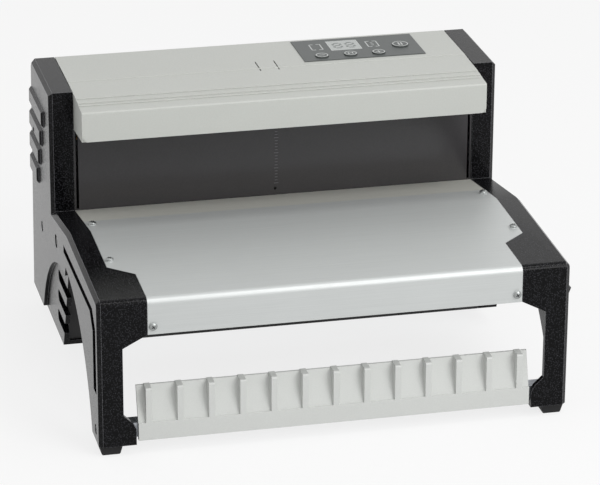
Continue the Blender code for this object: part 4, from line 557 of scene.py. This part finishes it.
@dataclass
class OperatorPanel:
    """Print on the panel film: key rings, key signs, sheet signs and the display digits.

    Attributes:
        overlay: Corners of the film's box.
        keys: Body, middle of the top and print radius of each key.
        window: Corners of the display window's box.
        ink: Thickness of the ink.
        line: Width of rings and sheet signs.
        sign_share: Length of a key's sign as a share of its radius.
        stroke_share: Width of a sign's strokes as a share of the line.
        mode_shares: Place and length of the mode sign's bars, and length of its
            crossbar, as shares of the sign's length.
        start_shares: Place and length of the start sign's bars as shares of the
            sign's length, and their width as a share of the stroke.
        sheets: Name and place of each sheet sign.
        sheet_half: Half of a sheet sign's width and height.
        hook_shares: Length and place of its short ends as shares of half its width.
        row_shares: Spacing of its rows as a share of half its height, their length as
            a share of half its width, and their width as a share of the line.
        digit_width: Width of a digit.
        digit_height: Distance between the middles of its end segments.
        digit_line: Width of a segment.
        digit_offset: From the window's middle to a digit's middle.
        digit_gap_share: How much an upright segment is shortened, in segment widths.
        border: Width of the line round the window.
    """

    overlay: tuple[Vector, Vector]
    keys: dict[str, tuple[Body, Vector, float]]
    window: tuple[Vector, Vector]
    ink: float = 0.00006
    line: float = 0.0010
    sign_share: float = 0.9
    stroke_share: float = 1.1
    mode_shares: tuple[float, float, float] = (0.36, 0.9, 0.4)
    start_shares: tuple[float, float, float] = (0.2, 1.05, 1.3)
    sheets: Sequence[tuple[str, float, float]] = (
        ("loop_sign", 0.0565, 0.135), ("sheet_sign", 0.1112, 0.1338))
    sheet_half: tuple[float, float] = (0.0052, 0.0080)
    hook_shares: tuple[float, float] = (0.62, 0.60)
    row_shares: tuple[float, float, float] = (0.45, 0.5, 0.8)
    digit_width: float = 0.0092
    digit_height: float = 0.0140
    digit_line: float = 0.0022
    digit_offset: float = 0.0062
    digit_gap_share: float = 1.4
    border: float = 0.0009

    def build(self) -> None:
        """Print the panel."""
        for name, (body, centre, radius) in self.keys.items():
            mesh = bmesh.new()
            put_ring(mesh, centre, radius, radius - self.line, self.ink)
            self._sign(mesh, name, centre, radius)
            new_piece(f"{name}_print", mesh, WHITE_INK, body)
        self._sheet_signs()
        self._window_border()
        self._digits()

    def _sign(
        self,
        mesh: bmesh.types.BMesh,
        name: str,
        centre: Vector,
        radius: float,
    ) -> None:
        """Add the sign of one key to its ring.

        Args:
            mesh: The bmesh of the ring.
            name: The key's name.
            centre: Middle of the key's top.
            radius: The print's radius.
        """
        up = Vector((0, 0, self.ink / 2))
        long, thin = radius * self.sign_share, self.line * self.stroke_share
        if name == "minus_button":
            put_box(mesh, centre + up, Vector((long, thin, self.ink)))
        elif name == "plus_button":
            put_box(mesh, centre + up, Vector((long, thin, self.ink)))
            side = long / 2 - thin / 2
            for step in (-1, 1):
                arm = Vector((0, step * (thin / 2 + side / 2), 0))
                put_box(mesh, centre + up + arm, Vector((thin, side, self.ink)))
        elif name == "mode_button":
            place, tall, across = self.mode_shares
            for step in (-1, 1):
                put_box(mesh, centre + up + Vector((step * long * place, 0, 0)),
                        Vector((thin, long * tall, self.ink)))
            put_box(mesh, centre + up, Vector((long * across, thin, self.ink)))
        else:
            place, tall, wide = self.start_shares
            for step in (-1, 1):
                put_box(mesh, centre + up + Vector((step * long * place, 0, 0)),
                        Vector((thin * wide, long * tall, self.ink)))

    def _sheet_signs(self) -> None:
        """Print the two open frames beside the display."""
        z = self.overlay[1].z + self.ink / 2
        half_x, half_y = self.sheet_half
        length, place = self.hook_shares
        pitch, wide, thin = self.row_shares
        side = Vector((self.line, 2 * half_y, self.ink))
        hook = Vector((half_x * length, self.line, self.ink))
        row = Vector((half_x * wide, self.line * thin, self.ink))
        for name, x, y in self.sheets:
            mesh = bmesh.new()
            for step in (-1, 1):
                put_box(mesh, Vector((x + step * half_x, y, z)), side)
                put_box(mesh, Vector((x + step * half_x * place, y - half_y, z)), hook)
                put_box(mesh, Vector((x + step * half_x * place, y + half_y, z)), hook)
            if name == "sheet_sign":
                for i in (-1, 0, 1):
                    put_box(mesh, Vector((x, y + i * half_y * pitch, z)), row)
            new_piece(name, mesh, WHITE_INK, Body.MACHINE)

    def _digits(self) -> None:
        """Show two seven-segment digits in the window."""
        low, high = self.window
        middle = (low + high) / 2
        mesh = bmesh.new()
        z = high.z + self.ink / 2
        half_w, half_h = self.digit_width / 2, self.digit_height / 2
        level_bar = Vector((self.digit_width - 2 * self.digit_line, self.digit_line, self.ink))
        upright = Vector((self.digit_line, half_h - self.digit_line * self.digit_gap_share,
                          self.ink))
        for step in (-1, 1):
            x = middle.x + step * self.digit_offset
            for level in (-1, 0, 1):
                put_box(mesh, Vector((x, middle.y + level * half_h, z)), level_bar)
            for side in (-1, 1):
                for level in (-1, 1):
                    put_box(mesh, Vector((x + side * (half_w - self.digit_line / 2),
                                          middle.y + level * half_h / 2, z)), upright)
        new_piece("display_digits", mesh, SEGMENT, Body.MACHINE)

    def _window_border(self) -> None:
        """Print the light line round the window."""
        low, high = self.window
        middle, size = (low + high) / 2, high - low
        z = self.overlay[1].z + self.ink / 2
        mesh = bmesh.new()
        for step in (-1, 1):
            reach_x = step * (size.x + self.border) / 2
            reach_y = step * (size.y + self.border) / 2
            put_box(mesh, Vector((middle.x, middle.y + reach_y, z)),
                    Vector((size.x + 2 * self.border, self.border, self.ink)))
            put_box(mesh, Vector((middle.x + reach_x, middle.y, z)),
                    Vector((self.border, size.y, self.ink)))
        new_piece("window_border", mesh, WHITE_INK, Body.MACHINE)


@dataclass
class Fasteners:
    """Screw heads of the table and recesses of the frame bolts.

    Attributes:
        table_points: Places of the right-hand screws on the table's top.
        apron_point: Place of the right-hand screw on its apron.
        seat: How far the table's heads stand above those places.
        head_radius: Radius of a screw head.
        dome: Height of one step of its dome.
        dome_steps: Number of those steps.
        dome_turn: Angle by which each step leans in, in radians.
        cross: Length and width of a stroke of the cross.
        cross_height: Thickness of the first stroke.
        cross_extra: How much thicker the second is, so that no faces coincide.
        cross_lift: How far the cross lies above the dome.
        cross_turn: How far the cross is turned, in degrees.
        bolt_points: Depth and height of each frame bolt.
        bolt_face: Distance of their faces from the middle.
        rim: Radius of a bolt's face at its base and at its top.
        rim_height: Its thickness.
        rim_lift: How far its middle lies outside.
        hexagon: Radius of the socket over its corners.
        socket_height: Thickness of the socket's dark face.
        socket_lift: How far its middle lies outside.
        round_sides: Sides of heads and bolt faces.
        socket_sides: Sides of a socket.
    """

    table_points: Sequence[tuple[float, float, float]] = (
        (0.1855, -0.098, 0.1506), (0.1845, -0.0035, 0.14885))
    apron_point: tuple[float, float, float] = (0.1635, -0.1873, 0.1213)
    seat: float = 0.0006
    head_radius: float = 0.0036
    dome: float = 0.0005
    dome_steps: int = 3
    dome_turn: float = 0.42
    cross: tuple[float, float] = (0.0034, 0.0009)
    cross_height: float = 0.00006
    cross_extra: float = 0.000009
    cross_lift: float = 0.00002
    cross_turn: float = 30.0
    bolt_points: Sequence[tuple[float, float]] = (
        (0.1405, 0.190), (0.1185, 0.102), (0.034, 0.1195), (-0.1685, 0.0208))
    bolt_face: float = 0.2118
    rim: tuple[float, float] = (0.0035, 0.0031)
    rim_height: float = 0.0003
    rim_lift: float = 0.00015
    hexagon: float = 0.0019
    socket_height: float = 0.00006
    socket_lift: float = 0.00035
    round_sides: int = 32
    socket_sides: int = 6

    def build(self) -> None:
        """Make every screw head and bolt recess."""
        heads, slots = bmesh.new(), bmesh.new()
        for side in (1, -1):
            for x, y, z in self.table_points:
                self._head(heads, slots, Matrix.Translation((side * x, y, z + self.seat)))
            x, y, z = self.apron_point
            turn = Matrix.Rotation(math.radians(90), 4, 'X')
            self._head(heads, slots, Matrix.Translation((side * x, y, z)) @ turn)
        new_piece("table_screw_heads", heads, SCREW_STEEL, Body.MACHINE)
        new_piece("table_screw_crosses", slots, RECESS, Body.MACHINE)
        sockets, rims = bmesh.new(), bmesh.new()
        for side in (1, -1):
            turn = Matrix.Rotation(math.radians(side * 90), 4, 'Y')
            for y, z in self.bolt_points:
                face = Matrix.Translation((side * self.bolt_face, y, z)) @ turn
                put_disc(sockets, face @ Matrix.Translation((0, 0, self.socket_lift)),
                         self.hexagon, self.socket_height, self.socket_sides)
                put_disc(rims, face @ Matrix.Translation((0, 0, self.rim_lift)),
                         self.rim[0], self.rim_height, self.round_sides, self.rim[1])
        new_piece("bolt_head_faces", rims, ENAMEL, Body.MACHINE)
        new_piece("bolt_sockets", sockets, RECESS, Body.MACHINE)

    def _head(
        self,
        heads: bmesh.types.BMesh,
        slots: bmesh.types.BMesh,
        place: Matrix,
    ) -> None:
        """Add a domed head and the cross in it.

        Args:
            heads: The bmesh of all heads.
            slots: The bmesh of all crosses.
            place: Middle of the head's base, its Z pointing outwards.
        """
        for step in range(self.dome_steps):
            low = self.head_radius * math.cos(step * self.dome_turn)
            high = self.head_radius * math.cos((step + 1) * self.dome_turn)
            lift = self.dome * (step + 0.5)
            put_disc(heads, place @ Matrix.Translation((0, 0, lift)), low, self.dome,
                     self.round_sides, high)
        top = place @ Matrix.Translation((0, 0, self.dome * self.dome_steps + self.cross_lift))
        for angle, extra in ((0, 0.0), (90, self.cross_extra)):
            made = bmesh.ops.create_cube(slots, size=1)["verts"]
            stroke = Vector((self.cross[0], self.cross[1], self.cross_height + extra))
            bmesh.ops.scale(slots, vec=stroke, verts=made)
            turn = Matrix.Rotation(math.radians(angle + self.cross_turn), 4, 'Z')
            bmesh.ops.transform(slots, matrix=top @ turn, verts=made)


@dataclass
class Throat:
    """The faint sheet scale printed on the throat's back panel.

    Attributes:
        x: Middle of the ticks.
        face_y: The panel's face.
        low_z: Height of the lowest tick.
        high_z: Height that the ticks reach.
        pitch: Distance between ticks.
        major: Every tick of this number is a long one.
        lengths: Length of a long and of a short tick.
        tick_width: Width of a tick.
        ink: Thickness of the ink.
    """

    x: float = 0.0008
    face_y: float = 0.0594
    low_z: float = 0.150
    high_z: float = 0.201
    pitch: float = 0.003
    major: int = 5
    lengths: tuple[float, float] = (0.0042, 0.0026)
    tick_width: float = 0.0006
    ink: float = 0.00006

    def build(self) -> None:
        """Print the scale's ticks."""
        mesh = bmesh.new()
        count = int((self.high_z - self.low_z) / self.pitch) + 1
        for i in range(count):
            long = self.lengths[0] if i % self.major == 0 else self.lengths[1]
            put_box(mesh,
                    Vector((self.x, self.face_y - self.ink / 2, self.low_z + i * self.pitch)),
                    Vector((long, self.ink, self.tick_width)))
        new_piece("throat_scale", mesh, SCALE_INK, Body.MACHINE)


@dataclass
class PlainNodes:
    """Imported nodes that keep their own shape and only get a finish."""

    nodes: dict[str, bpy.types.Object]
    finishes: dict[str, Finish] = field(default_factory=lambda: {
        "left_chassis_plate": ZINC, "right_chassis_plate": ZINC, "base_pan": ZINC,
        "lower_front_panel": LOWER_PAINT, "throat_back_panel": THROAT_PAINT,
        "rear_cover": ENAMEL, "bed_beam": ZINC, "left_table_bracket": ZINC,
        "right_table_bracket": ZINC, "front_tie_bar": ZINC, "left_rear_foot": RUBBER,
        "right_rear_foot": RUBBER, "left_rod_bracket": ZINC, "right_rod_bracket": ZINC,
        "left_guide_rod": GROUND_STEEL, "right_guide_rod": GROUND_STEEL,
        "left_shaft_bush": BRONZE, "right_shaft_bush": BRONZE, "gearbox": ZINC, "motor": ENAMEL,
        "motor_bracket": ZINC, "control_board": SOLDER_MASK, "transformer_core": ENAMEL,
        "transformer_coil": WINDING, "panel_overlay": FILM, "display_window": DISPLAY,
        "display_board": SOLDER_MASK, "power_switch": BLACK_ABS, "power_inlet": BLACK_ABS,
        "inlet_contacts": SCREW_STEEL, "pedal_socket": BLACK_ABS, "closing_bar": GROUND_STEEL,
        "jaw_pad": RUBBER, "left_bar_arm": GROUND_STEEL, "right_bar_arm": GROUND_STEEL,
        "left_carriage": BRONZE, "right_carriage": BRONZE, "left_rack": GROUND_STEEL,
        "right_rack": GROUND_STEEL, "cross_shaft": GROUND_STEEL, "left_pinion": GROUND_STEEL,
        "right_pinion": GROUND_STEEL, "drive_gear": NYLON, "motor_pinion": GROUND_STEEL,
        "minus_button": FILM, "mode_button": FILM, "plus_button": FILM, "start_button": FILM,
        "power_rocker": BLACK_ABS})

    def dress(self) -> None:
        """Give each node its finish, and every node some finish."""
        for name, obj in self.nodes.items():
            finish = self.finishes.get(name, ZINC)
            obj.data.materials.clear()
            obj.data.materials.append(finish.material())
            LOG.info("node %s has %s", name, finish.name)


@dataclass(frozen=True)
class Lamp:
    """One soft rectangular lamp.

    Attributes:
        name: The lamp's name.
        place: Where it hangs.
        size: Its width and height.
        watts: Its power.
    """

    name: str
    place: tuple[float, float, float]
    size: tuple[float, float]
    watts: float


@dataclass
class Studio:
    """Floor, world, lamps and the photograph's camera.

    Attributes:
        eye: Where the camera stands.
        forward: Where it looks.
        up: Its upward direction.
        lens_mm: Its focal length.
        sensor_mm: Width of its sensor.
        far_clip: How far it sees.
        ambient: Strength of the even light from all around.
        paper: Colour of the paper under the machine.
        paper_glow: Share of plain white in what the camera and gloss see of the paper.
        paper_half: Half of the paper's width.
        aim: The point that the lamps face.
        lamps: The lamps.
    """

    eye: Vector = field(default_factory=lambda: Vector((-0.6303, -2.7216, 1.2208)))
    forward: Vector = field(default_factory=lambda: Vector((0.21289, 0.90486, -0.36865)))
    up: Vector = field(default_factory=lambda: Vector((0.0805, 0.35977, 0.92956)))
    lens_mm: float = 194.9
    sensor_mm: float = 36.0
    far_clip: float = 50.0
    ambient: float = 0.50
    paper: str = "#F2F2F2"
    paper_glow: float = 0.8
    paper_half: float = 12.0
    aim: Vector = field(default_factory=lambda: Vector((0, 0, 0.12)))
    lamps: Sequence[Lamp] = (
        Lamp("key_softbox", (1.3, -2.2, 1.75), (1.5, 1.5), 34),
        Lamp("top_strip", (0.55, -1.06, 2.55), (1.8, 0.3), 16))

    def build(self) -> None:
        """Set up everything that isn't part of the machine."""
        self._camera()
        self._floor()
        self._world()
        for lamp in self.lamps:
            self._hang(lamp)

    def _camera(self) -> None:
        """Place the camera as the photograph was taken."""
        data = bpy.data.cameras.new("photo_camera")
        data.lens = self.lens_mm
        data.sensor_width = self.sensor_mm
        data.sensor_fit = 'HORIZONTAL'
        data.clip_end = self.far_clip
        forward = self.forward.normalized()
        right = forward.cross(self.up).normalized()
        up = right.cross(forward)
        turn = Matrix((right, up, -forward)).transposed().to_4x4()
        camera = bpy.data.objects.new("photo_camera", data)
        camera.matrix_world = Matrix.Translation(self.eye) @ turn
        bpy.context.scene.collection.objects.link(camera)
        bpy.context.scene.camera = camera

    def _floor(self) -> None:
        """Lay a wide pale floor that shows as white to the camera and in reflections."""
        mesh = bmesh.new()
        bmesh.ops.create_grid(mesh, x_segments=1, y_segments=1, size=self.paper_half)
        data = bpy.data.meshes.new("floor")
        mesh.to_mesh(data)
        mesh.free()
        mat = bpy.data.materials.new("pale_studio_paper")
        mat.use_nodes = True
        tree = mat.node_tree
        tree.nodes.clear()
        paper = add_node(tree, "ShaderNodeBsdfDiffuse", {"Color": linear(self.paper)})
        glow = add_node(tree, "ShaderNodeEmission", {"Color": linear(WHITE), "Strength": 1.0})
        share = add_node(tree, "ShaderNodeMath", {1: self.paper_glow},
                         {0: self._shown(tree)}, operation="MULTIPLY")
        both = add_node(tree, "ShaderNodeMixShader", None,
                        {0: share.outputs[0], 1: paper.outputs[0], 2: glow.outputs[0]})
        add_node(tree, "ShaderNodeOutputMaterial", None, {"Surface": both.outputs[0]})
        data.materials.append(mat)
        floor = bpy.data.objects.new("floor", data)
        bpy.context.scene.collection.objects.link(floor)

    @staticmethod
    def _shown(tree: bpy.types.NodeTree) -> bpy.types.NodeSocket:
        """Return 1 for camera, glossy and transmission rays, and 0 for the rays that light."""
        path = add_node(tree, "ShaderNodeLightPath")
        seen = add_node(tree, "ShaderNodeMath", None,
                        {0: path.outputs["Is Camera Ray"], 1: path.outputs["Is Glossy Ray"]},
                        operation="MAXIMUM")
        clear = add_node(tree, "ShaderNodeMath", None,
                         {0: seen.outputs[0], 1: path.outputs["Is Transmission Ray"]},
                         operation="MAXIMUM")
        return clear.outputs[0]

    def _world(self) -> None:
        """Light evenly from all around, and show white to the camera and to gloss."""
        world = bpy.data.worlds.new("studio_world")
        bpy.context.scene.world = world
        world.use_nodes = True
        tree = world.node_tree
        tree.nodes.clear()
        strength = add_node(tree, "ShaderNodeMapRange",
                            {"To Min": self.ambient, "To Max": 1.0},
                            {"Value": self._shown(tree)})
        sky = add_node(tree, "ShaderNodeBackground", {"Color": linear(WHITE)},
                       {"Strength": strength.outputs["Result"]})
        add_node(tree, "ShaderNodeOutputWorld", None, {"Surface": sky.outputs[0]})

    def _hang(self, lamp: Lamp) -> None:
        """Hang one lamp and turn it to the machine.

        Args:
            lamp: The lamp.
        """
        data = bpy.data.lights.new(lamp.name, 'AREA')
        data.shape = 'RECTANGLE'
        data.size, data.size_y = lamp.size
        data.energy = lamp.watts
        obj = bpy.data.objects.new(lamp.name, data)
        obj.location = lamp.place
        towards = self.aim - obj.location
        obj.rotation_euler = towards.to_track_quat('-Z', 'Y').to_euler()
        bpy.context.scene.collection.objects.link(obj)


def main() -> None:
    """Build the looks piece by piece."""
    logging.basicConfig(level=logging.INFO, format="%(message)s")
    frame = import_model()
    bpy.context.scene.view_settings.view_transform = 'Standard'
    nodes = frame["nodes"]
    PlainNodes(nodes).dress()
    Casing(SoftEdges(nodes)).build()

    keys: dict[str, tuple[Body, Vector, float]] = {}
    for name, body in (("minus_button", Body.MINUS), ("mode_button", Body.MODE),
                       ("plus_button", Body.PLUS), ("start_button", Body.START)):
        low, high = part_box(name)
        radius = (high.x - low.x) / 2 - KEY_SKIRT - INK_INSET
        keys[name] = (body, Vector(((low.x + high.x) / 2, (low.y + high.y) / 2, high.z)), radius)
    OperatorPanel(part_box("panel_overlay"), keys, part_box("display_window")).build()
    CoverLines().build()
    Fasteners().build()
    Throat().build()
    Studio().build()


if __name__ == "__main__":
    main()
